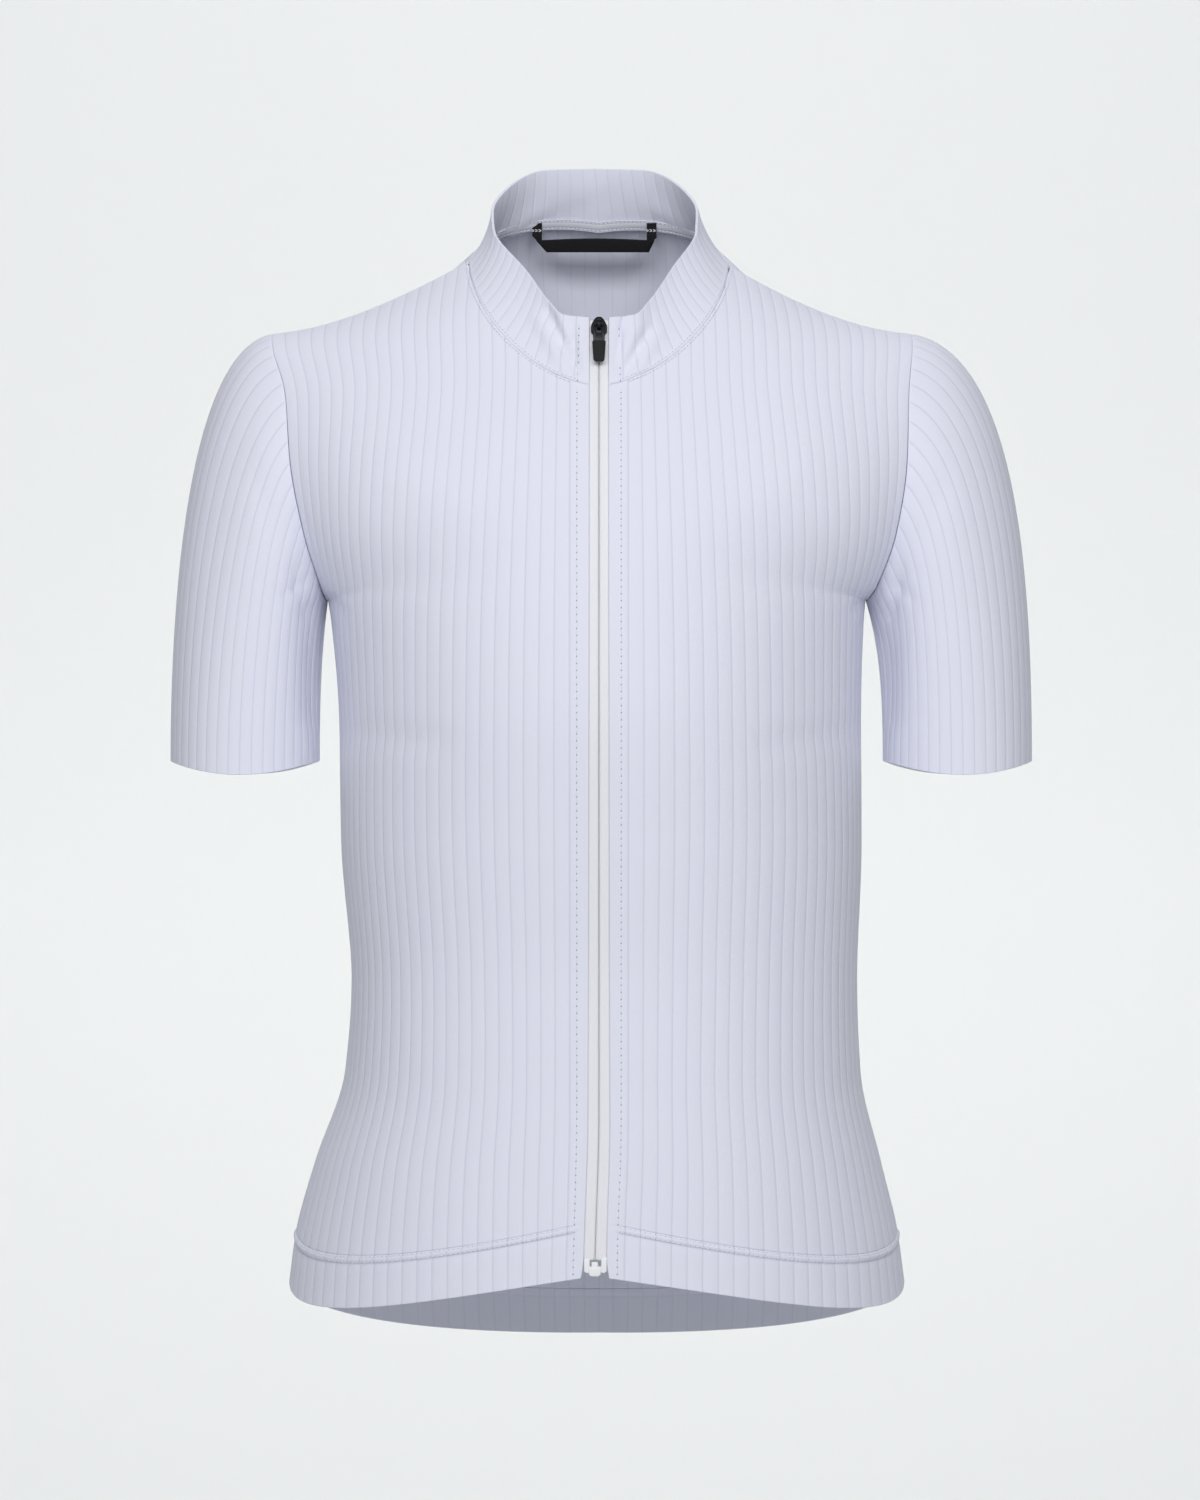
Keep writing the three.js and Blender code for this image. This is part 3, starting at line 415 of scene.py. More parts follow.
class Sleeve:
    """Surface of a sleeve by turn and level.

    turn runs once round from the armpit over the front to the shoulder tip and down the back, level from 0 at
    the cuff to 1 at the armhole.
    """

    CUFF_X = {Side.RIGHT: 198.5, Side.LEFT: 201.0}
    CUFF_Y, CUFF_Z, HALF_WIDTH, HALF_DEPTH, DIP = 6.0, -279.5, 41.5, 49.0, 7.5
    CAP_OUT = {Side.RIGHT: 42.0, Side.LEFT: 52.0}
    PIT_OUT = {Side.RIGHT: 4.0, Side.LEFT: 9.0}
    PIT_DOWN, TIP_DOWN, BOW = 28.0, 10.0, 8.0
    HANDLE_PIT, HANDLE_TIP = 30.0, 95.0

    def __init__(self, side: Side) -> None:
        self.side = side

    def point(self, turn: Array, level: Array) -> Array:
        turn, level = np.broadcast_arrays(np.asarray(turn, float), np.asarray(level, float))
        sign = self.side.value
        angle = turn * 2 * math.pi
        row = mix(PIT_ROW, RIDGE_ROW, 1 - np.abs(2 * turn - 1))
        high = (1 - np.cos(angle)) / 2
        front, back = TORSO.edge(Face.FRONT, self.side, row), TORSO.edge(Face.BACK, self.side, row)
        start = np.where((turn <= 0.5)[..., None], front, back)
        end = xyz(
            sign * (self.CUFF_X[self.side] - self.HALF_WIDTH * np.cos(angle)),
            self.CUFF_Y - self.HALF_DEPTH * np.sin(angle),
            self.CUFF_Z - self.DIP * np.sin(angle) ** 2,
        )
        out = self.PIT_OUT[self.side] + self.CAP_OUT[self.side] * high**1.5
        down = self.PIT_DOWN + (self.TIP_DOWN - self.PIT_DOWN) * high * high
        first = start + xyz(sign * out, -self.BOW * np.sin(angle), -down)
        second = end + xyz(0.0, 0.0, mix(self.HANDLE_PIT, self.HANDLE_TIP, high))
        length = np.linalg.norm(first - start, axis=-1) * 3
        found = bezier([start, first, second, end], mix(1.0, SEWN_GAP / length, level))
        return found


# Creases


@dataclass(frozen=True)
class Crease:
    """A soft trough (negative depth) or ridge that shows from the front or the back.

    Args:
        start: one end, across and up, in mm.
        end: the other end.
        depth: height of the ridge in mm, below zero for a trough.
        width: half width in mm.
        face: the half of the object that it lies on.
    """

    start: tuple[float, float]
    end: tuple[float, float]
    depth: float
    width: float
    face: Face = Face.FRONT

    def height(self, points: Array, normals: Array) -> Array:
        """How far this crease moves each point along its normal."""
        a, b = np.array(self.start), np.array(self.end)
        flat = points[..., [0, 2]]
        way = b - a
        t = clamp(((flat - a) @ way) / (way @ way))
        away = np.linalg.norm(flat - (a + t[..., None] * way), axis=-1) / self.width
        taper = 0.25 + 0.75 * np.sqrt(np.maximum(0.0, 4 * t * (1 - t)))
        facing = smooth(self.face.value * normals[..., 1], -0.05, 0.3)
        return self.depth * np.exp(-away * away) * taper * facing


def at_pixels(x0: float, y0: float, x1: float, y1: float) -> tuple[tuple[float, float], tuple[float, float]]:
    """Two places in the front view, counted in 0.56 mm steps from the view's corner, as mm across and up."""
    return ((x0 - 599) * 0.56, (262 - y0) * 0.56), ((x1 - 599) * 0.56, (262 - y1) * 0.56)


BODY_CREASES: tuple[Crease, ...] = (
    # beside the zip, in the collar's front
    Crease((-30, -29), (-12, -66), -3.0, 2.5),
    Crease((-36, -34), (-16, -68), 1.6, 3.0),
    Crease((-16, -35), (-11.8, -64), -2.0, 1.5),
    Crease((-21, -36), (-13.5, -58), 1.3, 2.2),
    Crease((29, -40), (13, -68), -2.5, 2.3),
    Crease((35, -42), (18, -70), 1.4, 3.0),
    Crease((13.4, -35), (9.4, -66), -2.2, 1.6),
    Crease((21, -40), (12.5, -60), 1.2, 2.2),
    # soft dents inside the back of the collar
    Crease((-56, 20), (-30, 37), -1.5, 5.0, Face.BACK),
    Crease((54, 22), (30, 38), -1.3, 5.0, Face.BACK),
    Crease((-30, 30), (14, 44), 0.7, 6.0, Face.BACK),
    # small crumples at the armpits
    Crease((-153, -186), (-141, -198), -1.6, 3.0),
    Crease((-152, -196), (-145, -205), -1.1, 2.4),
    Crease((151, -186), (140, -197), -1.6, 3.0),
    Crease((150, -197), (144, -206), -1.0, 2.4),
    # soft pull across the ribs below the chest
    Crease((-146, -262), (-80, -270), -1.4, 8.0),
    Crease((146, -262), (84, -272), -1.2, 8.0),
    Crease((-120, -120), (-60, -146), 0.7, 12.0),
    Crease((122, -116), (64, -150), 0.6, 12.0),
    # the same on the back
    Crease((-150, -192), (-132, -214), -1.5, 4.0, Face.BACK),
    Crease((149, -190), (134, -216), -1.4, 4.0, Face.BACK),
    Crease((-95, -330), (-20, -352), -1.2, 9.0, Face.BACK),
    Crease((100, -338), (34, -356), -1.0, 9.0, Face.BACK),
    Crease((-60, -372), (48, -380), 0.8, 10.0, Face.BACK),
)

SLEEVE_CREASES: tuple[Crease, ...] = (
    Crease((-160, -190), (-156, -262), -3.0, 9.0),
    Crease((161, -192), (158, -262), -3.0, 9.0),
    Crease((-169, -170), (-160, -200), -1.6, 3.2),
    Crease((-166, -178), (-161, -196), 1.0, 2.4),
    Crease((-176, -190), (-160, -178), -1.0, 3.0),
    Crease((-190, -118), (-176, -160), -0.7, 6.0),
    Crease((168, -172), (160, -202), -1.5, 3.2),
    Crease((176, -192), (161, -180), -1.0, 3.0),
    Crease((192, -120), (178, -162), -0.7, 6.0),
    Crease((-172, -168), (-162, -204), -1.4, 4.0, Face.BACK),
    Crease((171, -166), (163, -206), -1.4, 4.0, Face.BACK),
)


def creased(creases: Sequence[Crease], points: Array, normals: Array) -> Array:
    """Sum of the creases' heights."""
    total = np.zeros(points.shape[:-1])
    for crease in creases:
        total += crease.height(points, normals)
    return total


# Materials


def linear(hex_colour: str) -> tuple[float, float, float, float]:
    """Linear colour of an sRGB hex value."""
    values = [int(hex_colour[i : i + 2], 16) / 255 for i in (1, 3, 5)]
    red, green, blue = (v / 12.92 if v <= 0.04045 else ((v + 0.055) / 1.055) ** 2.4 for v in values)
    return red, green, blue, 1.0


class Nodes:
    """A material's node tree, built one small node at a time."""

    def __init__(self, name: str) -> None:
        self.material = bpy.data.materials.new(name)
        self.material.use_nodes = True
        self.tree = self.material.node_tree
        self.tree.nodes.clear()
        self.shader = self.node("ShaderNodeBsdfPrincipled")
        output = self.node("ShaderNodeOutputMaterial")
        self.tree.links.new(self.shader.outputs["BSDF"], output.inputs["Surface"])

    def node(self, kind: str, inputs: dict | None = None, **settings: object) -> bpy.types.Node:
        """Adds a node, with its settings, and its inputs as constants or links."""
        made = self.tree.nodes.new(kind)
        for name, value in settings.items():
            setattr(made, name, value)
        for name, value in (inputs or {}).items():
            if isinstance(value, bpy.types.NodeSocket):
                self.tree.links.new(value, made.inputs[name])
            else:
                made.inputs[name].default_value = value
        return made

    def math(self, operation: str, a: object, b: object = 0.0, c: object = 0.0) -> bpy.types.NodeSocket:
        """Output of a math node."""
        return self.node("ShaderNodeMath", {0: a, 1: b, 2: c}, operation=operation).outputs[0]

    def mix_colour(self, share: object, a: object, b: object) -> bpy.types.NodeSocket:
        """Blend of two colours."""
        made = self.node("ShaderNodeMix", {"Factor": share}, data_type="RGBA")
        for index, value in ((6, a), (7, b)):
            if isinstance(value, bpy.types.NodeSocket):
                self.tree.links.new(value, made.inputs[index])
            else:
                made.inputs[index].default_value = value
        return made.outputs[2]

    def cloth_axes(self) -> tuple[bpy.types.NodeSocket, bpy.types.NodeSocket]:
        """The cloth's own coordinates in metres: across and along the ribs."""
        coordinates = self.node("ShaderNodeUVMap", uv_map="cloth")
        parts = self.node("ShaderNodeSeparateXYZ", {0: coordinates.outputs[0]})
        return parts.outputs[0], parts.outputs[1]

    def attribute(self, name: str) -> bpy.types.NodeSocket:
        return self.node("ShaderNodeAttribute", attribute_name=name).outputs["Fac"]

    def set(self, **values: object) -> None:
        """Sets the shader's sockets by name, spaces written as underscores."""
        for name, value in values.items():
            socket = self.shader.inputs[name.replace("_", " ")]
            if isinstance(value, bpy.types.NodeSocket):
                self.tree.links.new(value, socket)
            else:
                socket.default_value = value

    def bump(self, height: object, distance: float, strength: float) -> None:
        made = self.node("ShaderNodeBump", {"Height": height, "Distance": distance, "Strength": strength})
        self.set(Normal=made.outputs[0])


@dataclass(frozen=True)
class KnitFinish:
    """White rib knit: fine stitches, painted shade in the furrows between ribs and a soft sheen."""

    name: str = "white_rib_knit"
    colour: str = "#e4e6f3"
    # colour of the painted shade in the furrows between ribs
    furrow_shade: str = "#cccde0"
    wale: float = 0.62  # mm between columns of stitches
    course: float = 0.48  # mm between rows of stitches

    def make(self) -> bpy.types.Material:
        nodes = Nodes(self.name)
        across, along = nodes.cloth_axes()
        coordinates = nodes.node("ShaderNodeTexCoord").outputs["Object"]
        wale = nodes.math("SINE", nodes.math("MULTIPLY", across, 2 * math.pi / (self.wale * MM)))
        course = nodes.math("SINE", nodes.math("MULTIPLY", along, 2 * math.pi / (self.course * MM)))
        stitches = nodes.math("MULTIPLY_ADD", wale, 0.6, nodes.math("MULTIPLY", course, 0.4))
        # loose fibres, about 1.2 mm apart
        fibres = nodes.node("ShaderNodeTexNoise", {"Vector": coordinates, "Scale": 850.0, "Detail": 3.0})
        # slow change of tone over 40 mm
        tone = nodes.node("ShaderNodeTexNoise", {"Vector": coordinates, "Scale": 25.0, "Detail": 2.0})
        # painted shade: a darker colour in the furrows between ribs, weighted by the furrow_shade attribute
        furrow_shade = nodes.math("MULTIPLY", nodes.attribute("furrow_shade"), 0.8, 0.0)
        plain = nodes.mix_colour(
            nodes.math("MULTIPLY", tone.outputs["Fac"], 0.25), linear(self.colour), linear("#dcdeee")
        )
        nodes.set(
            Base_Color=nodes.mix_colour(furrow_shade, plain, linear(self.furrow_shade)),
            Roughness=0.88,
            Sheen_Weight=0.1,
            Sheen_Roughness=0.5,
            Specular_IOR_Level=0.2,
        )
        height = nodes.math("MULTIPLY_ADD", fibres.outputs["Fac"], 0.8, nodes.math("MULTIPLY", stitches, 0.35))
        nodes.bump(height, 0.12 * MM, 0.6)
        return nodes.material


@dataclass(frozen=True)
class WovenFinish:
    """A plain woven tape with a fine grid of threads, painted darker where they lie low as shade between them."""

    name: str
    colour: str
    thread: float  # mm between threads
    roughness: float = 0.8
    depth: float = 0.1
    # how much darker the painted shade between the threads is
    weave_shade: float = 0.15

    def make(self) -> bpy.types.Material:
        nodes = Nodes(self.name)
        across, along = nodes.cloth_axes()
        step = 2 * math.pi / (self.thread * MM)
        warp = nodes.math("SINE", nodes.math("MULTIPLY", across, step))
        weft = nodes.math("SINE", nodes.math("MULTIPLY", along, step * 0.8))
        weave = nodes.math("MULTIPLY", warp, weft)
        coordinates = nodes.node("ShaderNodeTexCoord").outputs["Object"]
        # uneven thread, about 0.8 mm
        noise = nodes.node("ShaderNodeTexNoise", {"Vector": coordinates, "Scale": 1200.0, "Detail": 2.0})
        lift = nodes.math("MULTIPLY_ADD", weave, 0.5, noise.outputs["Fac"])
        base = linear(self.colour)
        # painted shade: the colour darkens where the weave's bump is low, between the threads
        dark = tuple(v * 0.6 for v in base[:3]) + (1.0,)
        share = nodes.math("MULTIPLY_ADD", weave, -self.weave_shade, self.weave_shade)
        nodes.set(Base_Color=nodes.mix_colour(share, base, dark), Roughness=self.roughness)
        nodes.set(Specular_IOR_Level=0.25, Sheen_Weight=0.15)
        nodes.bump(lift, self.depth * MM, 0.7)
        return nodes.material


@dataclass(frozen=True)
class ThreadFinish:
    """Sewing thread; in grey, also the painted shadow in its needle holes."""

    name: str
    colour: str

    def make(self) -> bpy.types.Material:
        nodes = Nodes(self.name)
        coordinates = nodes.node("ShaderNodeTexCoord").outputs["Object"]
        # twist of the thread, about 0.5 mm
        noise = nodes.node("ShaderNodeTexNoise", {"Vector": coordinates, "Scale": 2000.0, "Detail": 1.0})
        nodes.set(Base_Color=linear(self.colour), Roughness=0.6, Specular_IOR_Level=0.35)
        nodes.bump(noise.outputs["Fac"], 0.05 * MM, 0.5)
        return nodes.material


@dataclass(frozen=True)
class MouldedFinish:
    """Moulded plastic, rubber or coated metal."""

    name: str
    colour: str
    roughness: float
    metallic: float = 0.0
    grain: float = 0.02

    def make(self) -> bpy.types.Material:
        nodes = Nodes(self.name)
        coordinates = nodes.node("ShaderNodeTexCoord").outputs["Object"]
        # fine grain of the mould, about 0.4 mm
        noise = nodes.node("ShaderNodeTexNoise", {"Vector": coordinates, "Scale": 2500.0, "Detail": 2.0})
        wear = nodes.node("ShaderNodeTexNoise", {"Vector": coordinates, "Scale": 400.0, "Detail": 3.0})
        gloss = nodes.math("MULTIPLY_ADD", wear.outputs["Fac"], 0.2, self.roughness - 0.1)
        nodes.set(Base_Color=linear(self.colour), Roughness=gloss, Metallic=self.metallic)
        nodes.bump(noise.outputs["Fac"], self.grain * MM, 0.4)
        return nodes.material


# Meshes


@dataclass
class Sheet:
    """A grid of points on a cloth surface, in mm.

    Args:
        base: points by row and column.
        relief: how far the outer face stands off the base.
        furrow_shade: 1 in the furrows between ribs, 0 on the ribs; it weighs the painted shade there and thins the
            wall under them.
        uv: cloth coordinates in mm.
        ring: whether the last column joins the first.
        outward: a point that the outer face looks away from.
        edges: how round the first and last row and column are, 0 to 1, or one value for each point of the edge.
    """

    base: Array
    relief: Array
    furrow_shade: Array
    uv: Array
    ring: bool = False
    outward: Array | None = None
    edges: tuple = (1.0, 1.0, 1.0, 1.0)
    normals: Array = field(init=False)

    def __post_init__(self) -> None:
        points = self.base
        if self.ring:
            across = np.roll(points, -1, axis=1) - np.roll(points, 1, axis=1)
        else:
            across = np.gradient(points, axis=1)
        normals = unit(np.cross(across, np.gradient(points, axis=0)))
        centre = points.mean(axis=1, keepdims=True) if self.outward is None else self.outward
        if float(((points - centre) * normals).sum(-1).mean()) < 0:
            normals = -normals
        self.normals = normals


def distances(points: Array, axis: int) -> Array:
    """Length along each line of a grid from its start."""
    steps = np.linalg.norm(np.diff(points, axis=axis), axis=-1)
    start = np.zeros_like(np.take(steps, [0], axis=axis))
    return np.concatenate([start, np.cumsum(steps, axis=axis)], axis=axis)


def rolled_edges(sheet: Sheet, radius: float) -> Array:
    """How far each face draws in near the sheet's own edges, so that they are round."""
    drop = np.zeros(sheet.base.shape[:2])
    for axis, ends in ((0, sheet.edges[:2]), (1, sheet.edges[2:])):
        if axis == 1 and sheet.ring:
            continue
        length = distances(sheet.base, axis)
        total = np.take(length, [-1], axis=axis)
        for weight, away in zip(ends, (length, total - length)):
            inside = clamp(1 - away / radius)
            share = np.expand_dims(np.asarray(weight), axis) if np.ndim(weight) else weight
            drop = np.maximum(drop, share * radius * (1 - np.sqrt(np.maximum(0.0, 1 - inside * inside))))
    return drop


def grid_faces(rows: int, columns: int, ring: bool) -> tuple[Array, Array]:
    """Quads of a closed shell of two grids, and the flag of the outer ones."""
    index = np.arange(rows * columns).reshape(rows, columns)
    if ring:
        index = np.concatenate([index, index[:, :1]], axis=1)
    offset = rows * columns
    outer = np.stack([index[:-1, :-1], index[:-1, 1:], index[1:, 1:], index[1:, :-1]], -1).reshape(-1, 4)
    inner = outer[:, ::-1] + offset
    rims = []
    for line, turn in ((index[0], False), (index[-1], True), (index[:, 0], True), (index[:, -1], False)):
        if ring and line.size == rows:
            continue
        a, b = line[:-1], line[1:]
        quad = np.stack([b, a, a + offset, b + offset], -1)
        rims.append(quad[:, ::-1] if turn else quad)
    return np.concatenate([outer, inner, *rims]), np.arange(len(outer))


def make_object(name: str, points: Array, faces: Array | list, material: bpy.types.Material) -> bpy.types.Object:
    """A smooth-shaded mesh object from points in mm."""
    mesh = bpy.data.meshes.new(name)
    mesh.from_pydata((points * MM).tolist(), [], faces.tolist() if isinstance(faces, np.ndarray) else faces)
    mesh.polygons.foreach_set("use_smooth", np.ones(len(mesh.polygons), dtype=bool))
    mesh.materials.append(material)
    made = bpy.data.objects.new(name, mesh)
    bpy.context.scene.collection.objects.link(made)
    return made


def add_cloth_coordinates(piece: bpy.types.Object, uv: Array) -> None:
    """Writes the cloth coordinates, in mm for each point, as a UV layer in metres."""
    mesh = piece.data
    layer = mesh.uv_layers.new(name="cloth")
    corners = np.empty(len(mesh.loops), dtype=np.int32)
    mesh.loops.foreach_get("vertex_index", corners)
    layer.data.foreach_set("uv", (uv[corners] * MM).astype(np.float32).ravel())


def make_shell(
    name: str,
    sheet: Sheet,
    material: bpy.types.Material,
    creases: Sequence[Crease] = (),
    wall: float = WALL,
    roll: float = 0.45,
) -> bpy.types.Object:
    """A closed shell of cloth on a sheet's surface, with round edges and creases.

    Args:
        name: object name.
        sheet: the surface.
        material: its finish.
        creases: soft troughs and ridges.
        wall: thickness in mm below the base.
        roll: radius of the edges.

    Returns:
        The object.
    """
    shift = creased(creases, sheet.base, sheet.normals)
    drop = rolled_edges(sheet, min(roll, wall / 2))
    outer = sheet.base + sheet.normals * (sheet.relief + shift - drop)[..., None]
    inner_cut = 0.25 * sheet.furrow_shade
    inner = sheet.base + sheet.normals * (shift - wall + drop + inner_cut)[..., None]
    rows, columns = sheet.base.shape[:2]
    faces, _ = grid_faces(rows, columns, sheet.ring)
    points = np.concatenate([outer.reshape(-1, 3), inner.reshape(-1, 3)])
    a, b, c = (points[faces[0, k]] for k in (0, 1, 2))
    if float(np.dot(np.cross(b - a, c - a), sheet.normals.reshape(-1, 3)[faces[0, 0]])) < 0:
        faces = faces[:, ::-1]
    piece = make_object(name, points, faces, material)
    add_cloth_coordinates(piece, np.concatenate([sheet.uv.reshape(-1, 2)] * 2))
    # weight of the painted shade in the furrows, passed to the material; weaker on the inner face
    furrow_shade = piece.data.attributes.new("furrow_shade", "FLOAT", "POINT")
    furrow_shade.data.foreach_set("value", np.concatenate([sheet.furrow_shade.ravel(), 0.4 * sheet.furrow_shade.ravel()]).astype(np.float32))
    return piece


# Rib pattern

RIB_STOPS = (0.0, 0.06, 0.15, 0.5, 0.85, 0.94)
EDGE_STOPS = (0.12, 0.3, 0.6, 1.3, 2.2)  # mm from a seam, where the edge rolls in and the welt stands
BAND_STOPS = (0.15, 0.5, 1.0, 1.6, 2.2, 2.8, 3.3, 3.8, 4.2, 4.6, 5.4)  # mm below the hem band's seam
TOPSTITCH = 12.0  # mm from the zip's centre line


def rib_columns(first: int, last: int) -> Array:
    """Columns that follow the furrow and the crown of each rib, with more near both ends."""
    inner = [k + stop for k in range(first, last) for stop in RIB_STOPS] + [float(last)]
    extra = [first + d / RIB_PITCH for d in EDGE_STOPS] + [last - d / RIB_PITCH for d in EDGE_STOPS]
    return np.unique(np.round(inner + extra, 4))


def furrow_shade_at(rib: Array) -> Array:
    """Weight of the painted shade in the groove at each whole rib: 1 there, falling to 0 beside it."""
    away = np.abs(rib - np.round(rib)) * RIB_PITCH
    return clamp(1 - away / GROOVE)


def rib_relief(rib: Array) -> Array:
    """Height of the rib pattern: a narrow groove at each whole number and a low crown between."""
    part = rib - np.floor(rib)
    away = np.minimum(part, 1 - part) * RIB_PITCH
    return RIB_HEIGHT * (0.82 * (1 - np.exp(-((away / 0.55) ** 2))) + 0.18 * (1 - (2 * part - 1) ** 2))


def band_ridge(depth: Array) -> tuple[Array, Array]:
    """Relief of the sewn ridge at the top of the hem band, and the weight of painted shade in the needle groove below
    it, by depth in mm below its seam.
    """
    ridge = 1.15 * np.exp(-(((depth - 2.1) / 1.25) ** 2))
    # the needle line: a shallow groove, also painted darker as shade
    needle = np.exp(-(((depth - 4.2) / 0.6) ** 2))
    return ridge - 0.5 * needle, 0.5 * needle


def welt(away: Array) -> Array:
    """Relief of the flat seam at the neckline, by distance from it in mm."""
    return 0.35 * np.exp(-(((away - 1.5) / 0.8) ** 2))


def even_rows(first: int, last: int, step: float = 5.0) -> Array:
    """Rows of the torso about a step apart, with more near both ends."""
    heights = np.array([row[3] for row in Torso.ROWS], float)
    found: list[float] = []
    for row in range(first, last):
        count = max(2, math.ceil(abs(heights[row + 1] - heights[row]) / step))
        found += list(np.linspace(row, row + 1, count, endpoint=False))
    return np.array(found + [float(last)])


def near_ends(rows: Array, first_height: float, last_height: float) -> Array:
    """Adds rows close to both ends of a list, by the height in mm of its first and last step of 1."""
    extra = [rows[0] + d / first_height for d in EDGE_STOPS] + [rows[-1] - d / last_height for d in EDGE_STOPS]
    return np.unique(np.round(np.concatenate([rows, extra]), 5))


def torso_sheet(face: Face, side: Side | None, ribs: Array, rows: Array, to_neck: bool) -> Sheet:
    """The sheet of a panel or band of the torso.

    Args:
        face: front or back.
        side: side of a front, or None for the whole back.
        ribs: columns, below zero on the right half of the back.
        rows: rows.
        to_neck: whether the columns end at the neckline.

    Returns:
        The sheet, with its ribs faded out at the seams and on the placket.
    """
    count = FRONT_RIBS if face is Face.FRONT else BACK_RIBS
    halves = [(side, np.ones(ribs.size, bool), ribs)]
    if side is None:
        halves = [(Side.RIGHT, ribs < 0, -ribs[ribs < 0]), (Side.LEFT, ribs >= 0, ribs[ribs >= 0])]
    grid_rows = np.repeat(rows[:, None], ribs.size, axis=1)
    base = np.empty((rows.size, ribs.size, 3))
    neck_fade = np.ones_like(grid_rows)
    neck_welt = np.zeros_like(grid_rows)
    for half, chosen, own in halves:
        row = np.repeat(rows[:, None], own.size, axis=1)
        if to_neck:
            end = TORSO.neck_row(face, half, own)[None, :]
            low = float(PIT_ROW)
            row = np.where(row > low, low + (row - low) * (end - low) / (RIDGE_ROW - low), row)
            cut = end < RIDGE_ROW - 1e-6
            neck_fade[:, chosen] = np.where(cut, smooth(end - row, 0.02, 0.14), 1.0)
            neck_welt[:, chosen] = np.where(cut, welt((end - row) * NECK_STEP), 0.0)
        base[:, chosen] = TORSO.point(face, half, np.repeat(own[None], rows.size, axis=0), row)
    across = np.abs(ribs)[None, :]
    seam_fade = clamp((count - across) / 0.25)
    on_ribs = (across > 0) | (face is Face.BACK)
    if face is Face.FRONT:
        on_ribs = ribs[None, :] >= 0
    ribbed = rib_relief(across) * seam_fade * neck_fade
    relief = np.where(on_ribs, ribbed, 0.3 * smooth(-ribs[None, :], 0.0, 0.06)) + neck_welt
    # painted shade in the furrows between ribs
    furrow_shade = np.where(on_ribs, furrow_shade_at(across) * (across < count - 0.1), 0.0) * np.ones_like(grid_rows)
    sewn = smooth(ribs, -0.5, -0.4) if face is Face.FRONT else np.ones(ribs.size)
    if rows[-1] <= BAND_ROW:
        ridge, needle = band_ridge((BAND_ROW - rows[:, None]) * BAND_HEIGHT)
        relief = relief * (1 - 0.6 * sewn * clamp(ridge)) + sewn * ridge
        # painted shade in the needle groove below the hem band's ridge
        furrow_shade = np.maximum(furrow_shade, sewn * needle)
    across_mm = ribs * (RIB_PITCH if face is Face.BACK else np.where(ribs < 0, 10.7, RIB_PITCH))
    uv = np.stack([np.broadcast_to(across_mm, grid_rows.shape), distances(base, 0)], -1)
    first, last = (1.0, sewn) if rows[-1] <= BAND_ROW else (sewn if rows[0] <= BAND_ROW else 1.0, 1.0)
    return Sheet(
        base, relief * np.ones_like(grid_rows), furrow_shade, uv, outward=np.array([0.0, 0.0, -300.0]),
        edges=(first, last, 1.0, 1.0),
    )


# Sub-assemblies


@dataclass
class Finishes:
    """All materials of the jersey."""

    knit: bpy.types.Material
    zip_tape: bpy.types.Material
    neck_tape: bpy.types.Material
    webbing: bpy.types.Material
    thread: bpy.types.Material
    # dark discs that paint the shadow in the needle holes
    needle_hole: bpy.types.Material
    coil: bpy.types.Material
    plastic: bpy.types.Material
    gunmetal: bpy.types.Material
    rubber: bpy.types.Material

    @classmethod
    def make(cls) -> "Finishes":
        return cls(
            knit=KnitFinish().make(),
            zip_tape=WovenFinish("white_zip_tape", "#f4f4f8", 1.15, 0.75, 0.15, 0.22).make(),
            neck_tape=WovenFinish("white_neck_tape", "#e4e6f0", 0.8).make(),
            webbing=WovenFinish("black_webbing", "#0e0e11", 0.9, 0.85, 0.2).make(),
            thread=ThreadFinish("white_thread", "#e8eaf3").make(),
            needle_hole=ThreadFinish("shaded_needle_hole", "#9a9bb0").make(),
            coil=MouldedFinish("white_nylon_coil", "#e6e7ea", 0.35).make(),
            plastic=MouldedFinish("white_zip_plastic", "#f1f2f4", 0.4).make(),
            gunmetal=MouldedFinish("black_coated_metal", "#1d1e21", 0.38, 0.8).make(),
            rubber=MouldedFinish("black_rubber", "#101013", 0.8).make(),
        )


@dataclass
class Piece:
    """A finished object, the CAD nodes that it stands for and its material slot."""

    made: bpy.types.Object
    nodes: tuple[str, ...]
    slot: str
    body: str = "jersey"

    def settle(self) -> None:
        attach(self.made, self.body)
        if self.nodes:
            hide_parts(*self.nodes)
        mesh = self.made.data
        area = sum(face.area for face in mesh.polygons) / 2
        log.info("%s: %d faces, %.4f m2 of cloth", self.made.name, len(mesh.polygons), area)


PLACKET_COLUMNS = (-1.0, -0.986, -0.967, -0.944, -0.75, -0.5, -0.25, -0.08)


